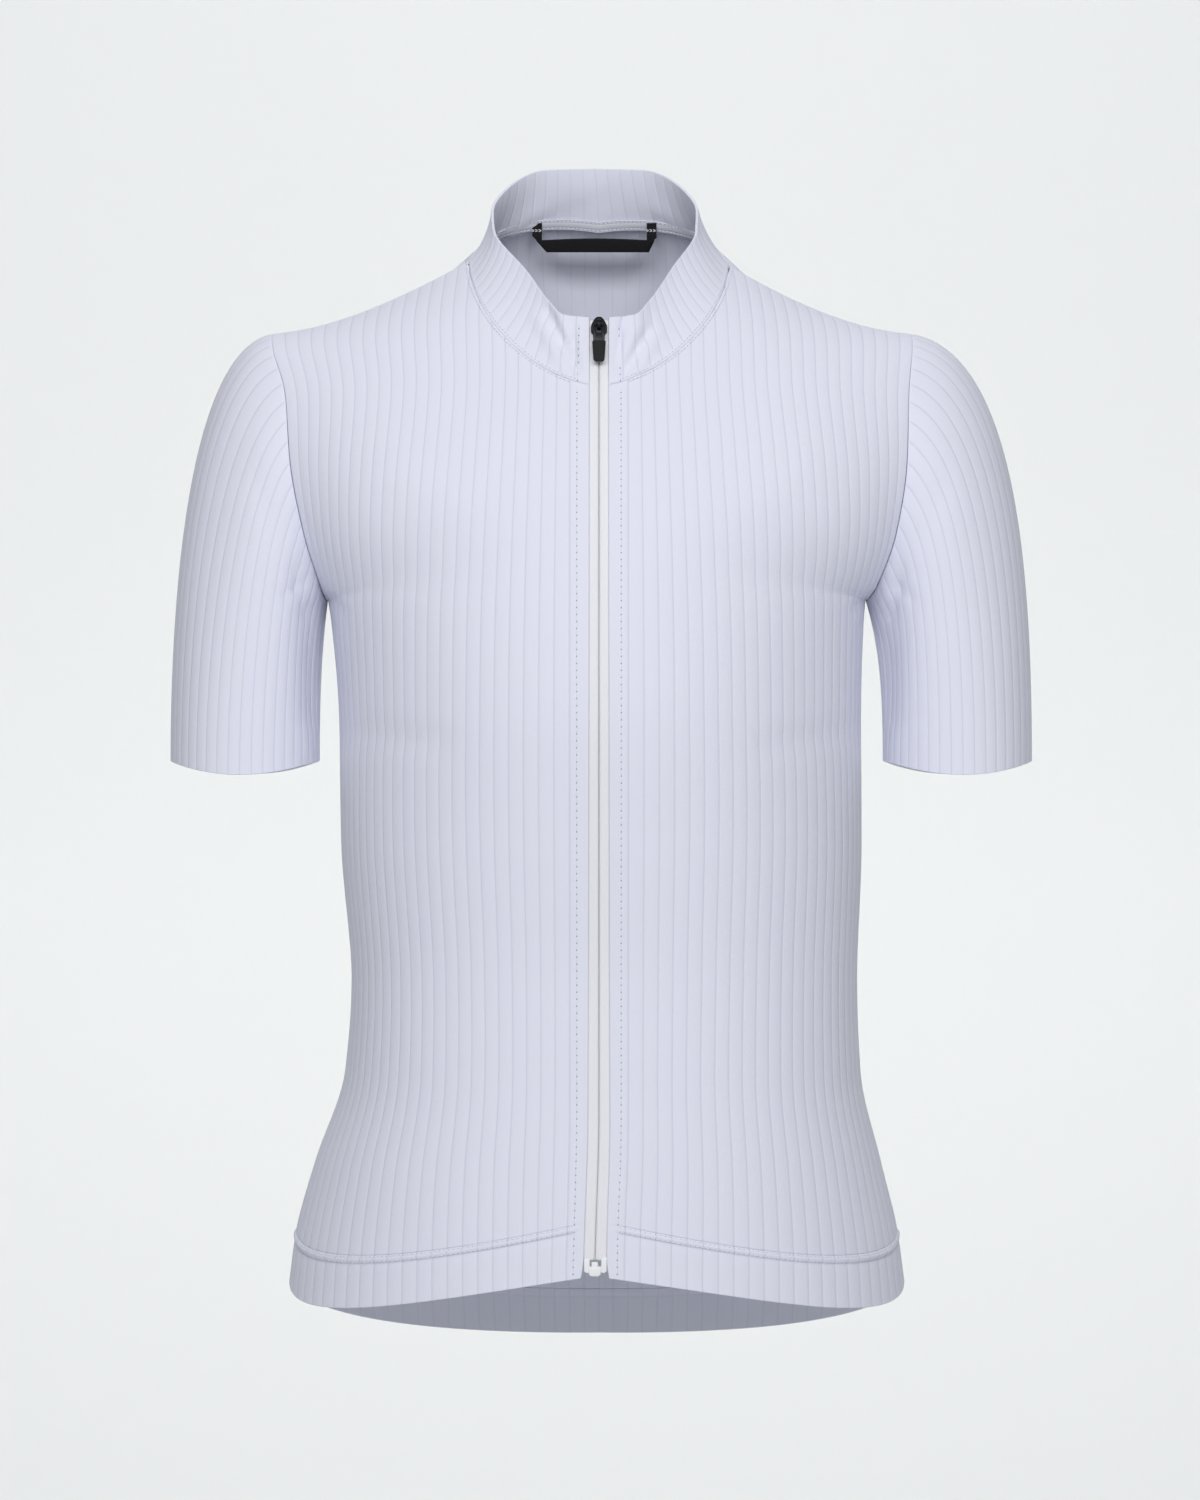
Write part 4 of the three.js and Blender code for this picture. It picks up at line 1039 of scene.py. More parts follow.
class TorsoCloth:
    """The two fronts, the back, the hem bands and the pocket panel."""

    def __init__(self, finishes: Finishes) -> None:
        self.finishes = finishes

    def build(self) -> list[Piece]:
        pieces = []
        rows = near_ends(even_rows(BAND_ROW, RIDGE_ROW), 38.0, 50.0)
        band_rows = near_ends(np.linspace(0, BAND_ROW, 7)[:-1], 26.0, 1e9)
        band_rows = np.unique(np.append(band_rows[band_rows < 0.8], [1 - d / BAND_HEIGHT for d in (0.0, *BAND_STOPS)]))
        front_ribs = np.concatenate([PLACKET_COLUMNS, rib_columns(0, FRONT_RIBS)])
        back_ribs = rib_columns(-BACK_RIBS, BACK_RIBS)
        for side in Side:
            name = side.name.lower()
            panel = torso_sheet(Face.FRONT, side, front_ribs, rows, to_neck=True)
            pieces.append(self.piece(f"front_panel_{name}", panel, f"front_{name}"))
            band = torso_sheet(Face.FRONT, side, front_ribs, band_rows, to_neck=False)
            pieces.append(self.piece(f"front_hem_{name}", band, f"hem_band_{name}"))
        back = torso_sheet(Face.BACK, None, back_ribs, rows, to_neck=True)
        pieces.append(self.piece("back_panel", back, "back"))
        hem = torso_sheet(Face.BACK, None, back_ribs, band_rows, to_neck=False)
        pieces.append(self.piece("back_hem", hem, "hem_band_back"))
        pieces.append(self.pocket())
        return pieces

    def piece(self, name: str, sheet: Sheet, node: str) -> Piece:
        made = make_shell(name, sheet, self.finishes.knit, BODY_CREASES)
        return Piece(made, (node,), "knit")

    def pocket(self) -> Piece:
        """The pocket panel: the back's own points, moved out past its ribs."""
        rows = near_ends(even_rows(BAND_ROW, 4), 50.0, 60.0)
        rows = np.unique(np.append(rows[rows < POCKET_TOP_ROW - 0.03], POCKET_TOP_ROW))
        rows = near_ends(rows, 50.0, 60.0)
        ribs = rib_columns(-POCKET_RIB, POCKET_RIB)
        sheet = torso_sheet(Face.BACK, None, ribs, rows, to_neck=False)
        climb = (rows - BAND_ROW) / (POCKET_TOP_ROW - BAND_ROW)
        off = RIB_HEIGHT + SEAM_GAP + WALL + POCKET_SLACK * climb**2
        sheet.base = sheet.base + sheet.normals * off[:, None, None]
        made = make_shell("pocket_cloth", sheet, self.finishes.knit, BODY_CREASES)
        return Piece(made, ("pocket_panel",), "knit")


class SleeveCloth:
    """One sleeve, a ring of cloth from the armhole to the cuff."""

    def __init__(self, side: Side, finishes: Finishes) -> None:
        self.side = side
        self.surface = Sleeve(side)
        self.finishes = finishes

    def build(self) -> list[Piece]:
        name = self.side.name.lower()
        ribs = rib_columns(0, SLEEVE_RIBS)[:-1]
        ribs = ribs[(ribs > 0.09) | (ribs == 0)]
        levels = near_ends(np.linspace(0, 1, 46), 220.0, 220.0)
        base = self.surface.point(ribs[None, :] / SLEEVE_RIBS, levels[:, None])
        fade = smooth(1 - levels, 0.0, 0.015)[:, None]
        across = np.broadcast_to(ribs[None, :], base.shape[:2])
        uv = np.stack([across * RIB_PITCH, distances(base, 0)], -1)
        sheet = Sheet(base, rib_relief(across) * fade, furrow_shade_at(across) * fade, uv, ring=True)
        made = make_shell(f"sleeve_cloth_{name}", sheet, self.finishes.knit, SLEEVE_CREASES)
        return [Piece(made, (f"sleeve_{name}",), "knit")]


class CollarCloth:
    """The collar band."""

    def __init__(self, finishes: Finishes) -> None:
        self.finishes = finishes

    def build(self) -> list[Piece]:
        shares = rib_columns(-COLLAR_RIBS, COLLAR_RIBS) / COLLAR_RIBS
        levels = near_ends(np.linspace(0, 1, 12), 38.0, 38.0)
        base = COLLAR.point(shares[None, :], levels[:, None])
        ribs = np.broadcast_to(np.abs(shares[None, :]) * COLLAR_RIBS, base.shape[:2])
        plain = smooth(COLLAR_RIBS - ribs, 0.5, 0.9)
        relief = np.where(ribs > COLLAR_RIBS - 1, 0.3 * (1 - plain) + rib_relief(ribs) * plain, rib_relief(ribs))
        uv = np.stack([np.broadcast_to(shares * COLLAR_RIBS * RIB_PITCH, base.shape[:2]), distances(base, 0)], -1)
        fade = smooth(levels, 0.02, 0.1)[:, None]
        sheet = Sheet(
            base, relief * fade + welt(levels * 38)[:, None], furrow_shade_at(ribs) * (ribs < COLLAR_RIBS - 0.5) * fade, uv,
            outward=np.array([0.0, 0.0, -60.0]),
        )
        made = make_shell("collar_cloth", sheet, self.finishes.knit, BODY_CREASES)
        return [Piece(made, ("collar",), "knit")]


# Sewing


class Sewing:
    """Rows of stitches, gathered into one object.

    Each stitch is a short bowed thread whose ends dip into the cloth, with a small dark disc between that paints the
    shadow in a needle hole.
    """

    SECTIONS = ((0.0, -0.5, 0.6), (0.2, 0.4, 1.0), (0.5, 0.7, 1.05), (0.8, 0.4, 1.0), (1.0, -0.5, 0.6))
    SIDES = 5

    def __init__(self, name: str) -> None:
        self.name = name
        self.points: list[Array] = []
        self.faces: list[list[int]] = []
        self.finish: list[int] = []
        self.count = 0

    def row(self, path: Array, normals: Array, pitch: float, radius: float = 0.22, gap: float = 0.7,
            slant: float = 0.0, holes: bool = True, hole: float = 0.25) -> None:
        """Adds a row along a line on the cloth.

        Args:
            path: points of the line, in mm.
            normals: which way the cloth faces at each.
            pitch: length of a stitch with its gap.
            radius: of the thread.
            gap: between two stitches.
            slant: how far each stitch leans across the row.
            holes: whether the painted shadows of the needle holes are drawn.
            hole: radius of the dark disc that paints the shadow in each needle hole.
        """
        steps = np.linalg.norm(np.diff(path, axis=0), axis=1)
        length = np.concatenate([[0.0], np.cumsum(steps)])
        starts = np.arange(pitch / 2, length[-1] - pitch, pitch)
        shares = np.array([s[0] for s in self.SECTIONS])
        places = starts[:, None] + shares * (pitch - gap)

        def read(values: Array, at: Array) -> Array:
            return np.stack([np.interp(at, length, values[:, k]) for k in range(3)], axis=-1)

        centre, up = read(path, places), unit(read(normals, places))
        way = unit(centre[:, -1:] - centre[:, :1])
        side = unit(np.cross(way, up))
        height = np.array([s[1] for s in self.SECTIONS]) * radius
        centre = centre + up * height[:, None] + side * ((shares - 0.5) * slant)[:, None]
        angle = np.arange(self.SIDES) * 2 * math.pi / self.SIDES
        width = np.array([s[2] for s in self.SECTIONS])[:, None] * radius
        spread = side[:, :, None] * (np.cos(angle) * width)[..., None]
        rise = up[:, :, None] * (np.sin(angle) * width)[..., None]
        ring = centre[:, :, None] + spread + rise
        block = len(shares) * self.SIDES
        index = self.count + np.arange(starts.size)[:, None] * block
        quads = []
        for j in range(len(shares) - 1):
            for k in range(self.SIDES):
                a, b = j * self.SIDES + k, j * self.SIDES + (k + 1) % self.SIDES
                quads.append([a, b, b + self.SIDES, a + self.SIDES])
        self.add(ring.reshape(-1, 3), (index[:, None] + np.array(quads)).reshape(-1, 4).tolist(), 0)
        first = [[int(i) + k for k in reversed(range(self.SIDES))] for i in index[:, 0]]
        last = [[int(i) + block - self.SIDES + k for k in range(self.SIDES)] for i in index[:, 0]]
        self.faces += first + last
        self.finish += [0] * (2 * starts.size)
        if holes:
            self.holes(read(path, starts - gap / 2), unit(read(normals, starts)), way[:, 0], hole)

    # Dark discs of painted shadow at the needle holes, lying just above the cloth.
    def holes(self, centres: Array, normals: Array, way: Array, radius: float) -> None:
        side = unit(np.cross(way, normals))
        angle = np.arange(6) * math.pi / 3
        ring = (
            centres[:, None] + normals[:, None] * 0.05
            + way[:, None] * (np.cos(angle) * radius)[:, None] + side[:, None] * (np.sin(angle) * radius)[:, None]
        )
        turned = float(np.dot(np.cross(way[0], side[0]), normals[0])) < 0
        order = list(range(6))[::-1] if turned else list(range(6))
        self.add(ring.reshape(-1, 3), [[self.count + 6 * i + k for k in order] for i in range(len(centres))], 1)

    def add(self, points: Array, faces: list[list[int]], finish: int) -> None:
        self.points.append(points)
        self.faces += faces
        self.finish += [finish] * len(faces)
        self.count += len(points)

    def make(self, finishes: Finishes) -> Piece:
        made = make_object(self.name, np.concatenate(self.points), self.faces, finishes.thread)
        # second slot: the painted shadow at the needle holes
        made.data.materials.append(finishes.needle_hole)
        made.data.polygons.foreach_set("material_index", np.array(self.finish, dtype=np.int32))
        orient_outwards(made)
        return Piece(made, (), "knit")


def orient_outwards(piece: bpy.types.Object) -> None:
    """Turns the faces of closed parts outwards."""
    mesh = bmesh.new()
    mesh.from_mesh(piece.data)
    closed = [face for face in mesh.faces if all(not edge.is_boundary for edge in face.edges)]
    bmesh.ops.recalc_face_normals(mesh, faces=closed)
    mesh.to_mesh(piece.data)
    mesh.free()


class Stitching:
    """All rows of stitches on the torso and the neck."""

    def __init__(self, finishes: Finishes, zips: dict[Side, "ZipLine"]) -> None:
        self.finishes = finishes
        self.zips = zips

    def on_torso(self, face: Face, side: Side, rib: Array, row: Array, lift: Array | float) -> tuple[Array, Array]:
        """Points and normals on the outer face."""
        rib, row = np.broadcast_arrays(np.asarray(rib, float), np.asarray(row, float))
        points, normals = TORSO.point(face, side, rib, row), TORSO.normal(face, side, rib, row)
        rise = np.broadcast_to(lift, rib.shape) + creased(BODY_CREASES, points, normals)
        return points + normals * rise[..., None], normals

    def build(self) -> list[Piece]:
        return [self.placket(), self.hem(), self.neck(), self.pocket()]

    def placket(self) -> Piece:
        """Topstitching beside the zip, from the hem to the collar's top edge."""
        sewing = Sewing("placket_topstitch")
        for side in Side:
            line = self.zips[side]
            ways = np.concatenate([np.linspace(0.05, line.foot - 0.03, 140), line.foot + np.linspace(0.03, 0.95, 14)])
            path, normals = line.surface(np.full(ways.shape, TOPSTITCH), ways)
            rise = 0.3 + creased(BODY_CREASES, path, normals)
            sewing.row(path + normals * rise[:, None], normals, 3.8, 0.22, 1.0, hole=0.42)
        return sewing.make(self.finishes)

    def hem(self) -> Piece:
        """Two rows on the ridge of the hem band."""
        sewing = Sewing("hem_coverstitch")
        for face in Face:
            count = FRONT_RIBS if face is Face.FRONT else BACK_RIBS
            for side in Side:
                ribs = np.linspace(-0.4 if face is Face.FRONT else 0.0, count - 0.05, 220)
                for depth in (0.9, 3.3):
                    ridge = float(band_ridge(np.array(depth))[0])
                    lift = ridge + rib_relief(np.abs(ribs)) * (1 - 0.6 * ridge)
                    path, normals = self.on_torso(face, side, ribs, BAND_ROW - depth / BAND_HEIGHT, lift)
                    sewing.row(path, normals, 2.8, 0.2, 0.6)
        return sewing.make(self.finishes)

    def neck(self) -> Piece:
        """A row on each side of the seam between the panels and the collar."""
        sewing = Sewing("neckline_coverstitch")
        for side in Side:
            for face in Face:
                ribs, rows = self.neck_places(face, side)
                path, normals = self.on_torso(face, side, ribs, rows, 0.0)
                along = unit(np.gradient(path, axis=0))
                out = unit(np.cross(along, normals))
                away = path - np.array([0.0, 0.0, -60.0])
                out = out * np.sign((out * away).sum(-1, keepdims=True))
                sewing.row(path + out * 1.6 + normals * 0.3, normals, 2.6, 0.18, 0.5)
            total = COLLAR.necks[side].total
            shares = side.value * np.linspace(1 - 7 / total, 0.004, 90)
            level = np.full(shares.shape, 1.5 / 38)
            path = COLLAR.point(shares, level)
            normals = COLLAR.normal(shares, level)
            rise = 0.35 + creased(BODY_CREASES, path, normals)
            sewing.row(path + normals * rise[:, None], normals, 2.6, 0.18, 0.5)
        return sewing.make(self.finishes)

    @staticmethod
    def neck_places(face: Face, side: Side) -> tuple[Array, Array]:
        """Ribs and rows of the neckline."""
        if face is Face.BACK:
            last = float(TORSO.neck_rib(face, side, np.array(float(RIDGE_ROW))))
            ribs = np.linspace(last, 0.0, 50)
            return ribs, TORSO.neck_row(face, side, ribs)
        start = float(TORSO.neck_row(face, side, np.array(-1.0)))
        rows = start + (RIDGE_ROW - start) * np.linspace(0.0, 1.0, 80) ** 1.6
        return TORSO.neck_rib(face, side, rows), rows

    def pocket(self) -> Piece:
        """Rows on the pocket panel: its top hem, both sides and the lines between three pockets."""
        sewing = Sewing("pocket_stitching")
        base = RIB_HEIGHT + SEAM_GAP + WALL

        def lift(rib: Array, row: Array) -> Array:
            climb = (row - BAND_ROW) / (POCKET_TOP_ROW - BAND_ROW)
            return base + POCKET_SLACK * climb**2 + rib_relief(np.abs(rib))

        for side in Side:
            for rib in (POCKET_RIB - 0.35, POCKET_RIB / 3 - 0.5):
                rows = np.linspace(BAND_ROW + 0.03, POCKET_TOP_ROW - 0.03, 60)
                path, normals = self.on_torso(Face.BACK, side, rib, rows, lift(np.full(rows.shape, rib), rows))
                sewing.row(path, normals, 3.2, 0.2)
            for down in (0.24, 0.32):
                ribs = np.linspace(0.0, POCKET_RIB - 0.2, 160)
                row = POCKET_TOP_ROW - down
                path, normals = self.on_torso(Face.BACK, side, ribs, row, lift(ribs, np.full(ribs.shape, row)))
                sewing.row(path, normals, 2.8, 0.2, 0.6)
        return sewing.make(self.finishes)


# Zip


class ZipLine:
    """One side of the zip's line: up the front, over the neck seam and on up the collar.

    way counts the torso's rows as far as the neck seam, and then on by the collar's level.
    """

    OPEN = 2.4  # how far each tape stands aside above the slider

    def __init__(self, side: Side) -> None:
        self.side = side
        self.foot = float(TORSO.neck_row(Face.FRONT, side, np.array(-1.0)))

    def point(self, across: Array, way: Array) -> Array:
        across, way = np.broadcast_arrays(np.asarray(across, float), np.asarray(way, float))
        low = TORSO.along(Face.FRONT, self.side, np.minimum(way, self.foot), across)
        low[..., 1] -= SEWN_GAP / 2
        share = 1 - np.maximum(0.0, across - SLOT_TOP) / COLLAR.necks[self.side].total
        high = COLLAR.point(self.side.value * share, clamp(way - self.foot))
        high[..., 0] = np.where(across < SLOT_TOP, self.side.value * across, high[..., 0])
        return np.where((way <= self.foot)[..., None], low, high)

    def surface(self, across: Array, way: Array) -> tuple[Array, Array]:
        """Points and normals."""
        aside = self.point(across + 0.5, way) - self.point(np.maximum(across - 0.5, 0.0), way)
        up = self.point(across, way + 0.01) - self.point(across, way - 0.01)
        normals = unit(np.cross(aside, up) * self.side.value)
        return self.point(across, way), np.where(normals[..., 1:2] > 0, -normals, normals)

    def opened(self, across: Array, way: Array) -> Array:
        """The distance from the centre line, with the tapes apart above the slider."""
        return across + self.OPEN * smooth(way - self.foot, 0.64, 0.76) * clamp(1 - across / 9)

    def ways(self, first: float, step: float = 5.0) -> Array:
        """Even places from a row near the hem to the collar's top."""
        rows = even_rows(0, RIDGE_ROW, step)
        rows = rows[(rows > first + 0.02) & (rows < self.foot - 0.04)]
        levels = np.linspace(0.05, 0.97, max(8, round(38 / step)))
        return np.concatenate([[first], rows, self.foot + levels])


class Zip:
    """Tapes with their coils, the box at the foot, the slider and its pull tab."""

    FIRST_ROW = 0.3  # where the tapes come out of the box
    TAPE_DEPTH = WALL + SEAM_GAP + 0.1
    TAPE_THICK, TAPE_HALF = 0.8, 14.0
    COLUMNS = (0.24, 0.34, 0.5, 0.8, 1.4, 2.1, 2.8, 3.5, 4.4, 5.6, 8.0, 11.0, 14.0)
    COIL_PITCH, COIL_WIRE = 1.25, 0.28
    SLIDER_Z = -41.0
    PIVOT = 3.5  # how far the pull tab's hinge stands out of the cloth

    def __init__(self, finishes: Finishes) -> None:
        self.finishes = finishes
        self.lines = {side: ZipLine(side) for side in Side}

    def build(self) -> list[Piece]:
        pieces = []
        for side in Side:
            pieces.append(self.tape(side))
            pieces.append(self.coil(side))
        pieces += [self.box(), self.slider(), self.tab_frame(), self.tab_grip()]
        return pieces

    def tape(self, side: Side) -> Piece:
        """A woven tape that folds back at the centre line over its coil."""
        line = self.lines[side]
        ways = line.ways(self.FIRST_ROW)
        columns = np.array(self.COLUMNS)
        across = line.opened(np.repeat(columns[None], ways.size, axis=0), ways[:, None])
        base = line.point(across, ways[:, None])
        away = np.broadcast_to(columns, across.shape)
        bulge = 0.5 * np.exp(-(((away - 2.1) / 1.4) ** 2)) - 1.1 * np.exp(-((away / 0.42) ** 2))
        uv = np.stack([away, distances(base, 0)], -1)
        sheet = Sheet(base, bulge, np.zeros_like(away), uv, outward=np.array([0.0, 400.0, -300.0]))
        sheet.base = sheet.base - sheet.normals * self.TAPE_DEPTH
        name = side.name.lower()
        made = make_shell(f"zip_cloth_{name}", sheet, self.finishes.zip_tape, (), self.TAPE_THICK, 0.3)
        return Piece(made, (f"zip_tape_{name}",), "zip_tape")

    def coil(self, side: Side) -> Piece:
        """The nylon coil behind the tape, one turn for each tooth."""
        line = self.lines[side]
        ways = line.ways(self.FIRST_ROW, 2.5)
        path, normals = line.surface(line.opened(np.full(ways.shape, 1.15), ways), ways)
        path = path - normals * (self.TAPE_DEPTH + self.TAPE_THICK + 0.75)
        length = np.concatenate([[0.0], np.cumsum(np.linalg.norm(np.diff(path, axis=0), axis=1))])
        at = np.arange(0.0, length[-1], self.COIL_PITCH / 8)
        shift = 0.25 if side is Side.LEFT else -0.25
        turn = (at / self.COIL_PITCH + shift) * 2 * math.pi
        centre = np.stack([np.interp(at, length, path[:, k]) for k in range(3)], -1)
        up = unit(np.stack([np.interp(at, length, normals[:, k]) for k in range(3)], -1))
        wire = centre + up * (0.62 * np.sin(turn))[:, None]
        wire[:, 0] += side.value * 1.3 * np.cos(turn)
        made = tube(f"zip_coil_{side.name.lower()}", wire, self.COIL_WIRE, self.finishes.coil)
        return Piece(made, (), "zip_tape")

    def box(self) -> Piece:
        """A two-part box: an end block on each tape, and the box between and below them."""
        parts = Moulding()
        for outline, front, back, bevel in (
            (((-8.1, -547.2), (-8.1, -554.2), (-7.2, -555.2), (-5.0, -555.2), (-5.0, -547.8)), 112.9, 109.6, 0.5),
            (((1.2, -547.6), (1.2, -555.2), (3.3, -555.2), (4.2, -554.2), (4.2, -546.9)), 112.9, 109.6, 0.5),
            (((-7.0, -551.8), (-7.0, -555.0), (3.2, -555.0), (3.2, -551.8)), 112.5, 109.7, 0.4),
            (((-5.9, -552.0), (-5.4, -556.2), (-4.4, -557.0), (-0.2, -557.0), (0.8, -556.2), (1.3, -552.0)),
             113.5, 109.2, 0.7),
            (((-4.0, -549.4), (-4.0, -552.4), (-0.6, -552.4), (-0.6, -549.4)), 112.6, 110.0, 0.35),
        ):
            parts.plate(outline, back, front, bevel)
        made = parts.make("zip_end_box", self.finishes.plastic, lambda p: xyz(p[:, 0], -p[:, 2], p[:, 1]))
        return Piece(made, ("zip_box",), "zip_plastic")

    def at_slider(self, points: Array, out: float = 0.0) -> Array:
        """From the zip's own frame at the slider (across, up, out) to the jersey's."""
        line = self.lines[Side.LEFT]
        level = float(bisect(
            lambda level: line.point(np.array(0.0), line.foot + level)[..., 2] < self.SLIDER_Z,
            np.array(0.0), np.array(1.0),
        ))
        place, normal = line.surface(np.array(0.01), np.array(line.foot + level))
        lean = math.atan2(float(normal[2]), -float(normal[1]))
        x, up, high = points[:, 0], points[:, 1], points[:, 2] + out
        y = place[1] + up * math.sin(lean) - high * math.cos(lean)
        z = place[2] + up * math.cos(lean) + high * math.sin(lean)
        return xyz(x, y, z)

    def slider(self) -> Piece:
        """Slider body: a crowned plate with side flanges, a plate behind, and the bridge that holds the tab."""
        parts = Moulding()
        crown = ((-1.2, 5.0), (-2.7, 3.5), (-4.1, 0.6), (-4.5, -1.4), (-4.0, -3.8), (-2.6, -5.0))
        outline = crown + tuple((-x, y) for x, y in reversed(crown))
        parts.plate(outline, 0.5, 2.1, 0.55)
        parts.plate(tuple((x * 0.95, y * 0.95) for x, y in outline), -6.0, -4.7, 0.4)
        for sign in (-1, 1):
            flange = ((sign * 3.5, 0.9), (sign * 4.4, 0.4), (sign * 4.4, -3.4), (sign * 3.4, -4.4))
            parts.plate(flange, -1.5, 1.0, 0.25)
        parts.plate(((-1.1, 4.6), (-0.9, 2.2), (0.9, 2.2), (1.1, 4.6)), -5.2, 0.9, 0.3)
        for sign in (-1, 1):
            parts.plate(((sign * 2.3, 1.6), (sign * 3.2, 0.0), (sign * 2.6, -2.8), (sign * 1.7, -1.0)), 1.8, 2.5, 0.25)
        bridge = (
            (-3.1, 1.7), (-3.0, 4.0), (-2.1, 5.5), (0.0, 6.1), (2.1, 5.5), (3.0, 4.0), (3.1, 1.7),
            (1.5, 1.7), (1.5, 4.2), (0.9, 4.9), (-0.9, 4.9), (-1.5, 4.2), (-1.5, 1.7),
        )
        arch = Moulding()
        arch.plate(bridge, -1.1, 1.1, 0.3)
        parts.take(arch, lambda p: xyz(p[:, 2], -p[:, 0], p[:, 1]))
        made = parts.make("slider_body", self.finishes.gunmetal, self.at_slider)
        return Piece(made, ("zip_slider",), "gunmetal")

    def tab_frame(self) -> Piece:
        """The tab's metal frame: a hinge bar through the bridge, two arms and the tongue in the grip."""
        parts = Moulding()
        for sign in (-1, 1):
            arm = (
                (sign * 1.6, 0.5), (sign * 2.7, 0.7), (sign * 3.3, 0.1), (sign * 3.3, -6.4),
                (sign * 2.9, -9.9), (sign * 1.6, -9.9),
            )
            parts.plate(arm, -0.65, 0.65, 0.3)
        parts.plate(((-3.2, -5.1), (-3.0, -11.0), (3.0, -11.0), (3.2, -5.1)), -0.6, 0.6, 0.3)
        bar = Moulding()
        ring = tuple((0.7 * math.cos(a), 0.7 * math.sin(a)) for a in np.arange(12) * math.pi / 6)
        bar.plate(ring, -2.9, 2.9, 0.15)
        parts.take(bar, lambda p: xyz(p[:, 2], p[:, 0], p[:, 1]))
        made = parts.make("tab_metal_frame", self.finishes.gunmetal, lambda p: self.at_slider(p, self.PIVOT))
        return Piece(made, ("pull_tab",), "gunmetal", "tab")

    def tab_grip(self) -> Piece:
        """The rubber grip, a tapering tongue with round corners and a shallow dished face."""
        half, end, long, corner = 3.75, 3.1, 21.5, 1.8
        rounded = [
            (end - corner + corner * math.cos(a), -long + corner + corner * math.sin(a))
            for a in np.linspace(0.0, -math.pi / 2, 7)
        ]
        right = [(half - 0.6, -9.6), (half, -10.2), *rounded]
        outline = tuple(right) + tuple((-x, y) for x, y in reversed(right))
        parts = Moulding()
        parts.plate(outline, -0.95, 0.95, 0.45)
        rim = tuple((x * 0.72, -15.6 + (y + 15.6) * 0.84) for x, y in outline)
        parts.plate(rim, -1.06, 1.06, 0.12)
        made = parts.make("tab_rubber_grip", self.finishes.rubber, lambda p: self.at_slider(p, self.PIVOT))
        return Piece(made, (), "tab_rubber", "tab")


def tube(name: str, path: Array, radius: float, material: bpy.types.Material, sides: int = 4) -> bpy.types.Object:
    """A closed round wire along a line."""
    way = unit(np.gradient(path, axis=0))
    up = unit(np.cross(way, np.array([0.31, 0.12, 0.94])))
    side = np.cross(way, up)
    angle = np.arange(sides) * 2 * math.pi / sides
    ring = path[:, None] + radius * (up[:, None] * np.cos(angle)[:, None] + side[:, None] * np.sin(angle)[:, None])
    count = len(path)
    index = np.arange(count * sides).reshape(count, sides)
    after = np.roll(index, -1, axis=1)
    quads = np.stack([index[:-1], after[:-1], after[1:], index[1:]], -1).reshape(-1, 4).tolist()
    caps = [index[0][::-1].tolist(), index[-1].tolist()]
    made = make_object(name, ring.reshape(-1, 3), quads + caps, material)
    orient_outwards(made)
    return made


class Moulding:
    """Bevelled plates, gathered into one object."""

    def __init__(self) -> None:
        self.points: list[Array] = []
        self.faces: list[list[int]] = []
        self.count = 0

    def plate(self, outline: Sequence[tuple[float, float]], low: float, high: float, bevel: float) -> None:
        """Adds a flat plate: an outline, the depths of both faces, and the bevel of its edges."""
        mesh = bmesh.new()
        foot = [mesh.verts.new((x, y, low)) for x, y in outline]
        head = [mesh.verts.new((x, y, high)) for x, y in outline]
        mesh.faces.new(foot)
        mesh.faces.new(head)
        for k in range(len(outline)):
            after = (k + 1) % len(outline)
            mesh.faces.new((foot[k], foot[after], head[after], head[k]))
        bmesh.ops.recalc_face_normals(mesh, faces=mesh.faces[:])
        bmesh.ops.bevel(
            mesh, geom=mesh.edges[:], offset=bevel, segments=3, profile=0.5, affect="EDGES", clamp_overlap=True,
        )
        mesh.verts.index_update()
        points = np.array([vertex.co[:] for vertex in mesh.verts])
        faces = [[vertex.index for vertex in face.verts] for face in mesh.faces]
        mesh.free()
        self.gather(points, faces)

    def take(self, other: "Moulding", place: Callable[[Array], Array]) -> None:
        """Adds another moulding's plates, turned or moved."""
        self.gather(place(np.concatenate(other.points)), other.faces)

    def gather(self, points: Array, faces: list[list[int]]) -> None:
        self.faces += [[self.count + k for k in face] for face in faces]
        self.points.append(points)
        self.count += len(points)

    def make(self, name: str, material: bpy.types.Material, place: Callable[[Array], Array]) -> bpy.types.Object:
        made = make_object(name, place(np.concatenate(self.points)), self.faces, material)
        made.data.set_sharp_from_angle(angle=math.radians(50))
        orient_outwards(made)
        return made


# Back neck


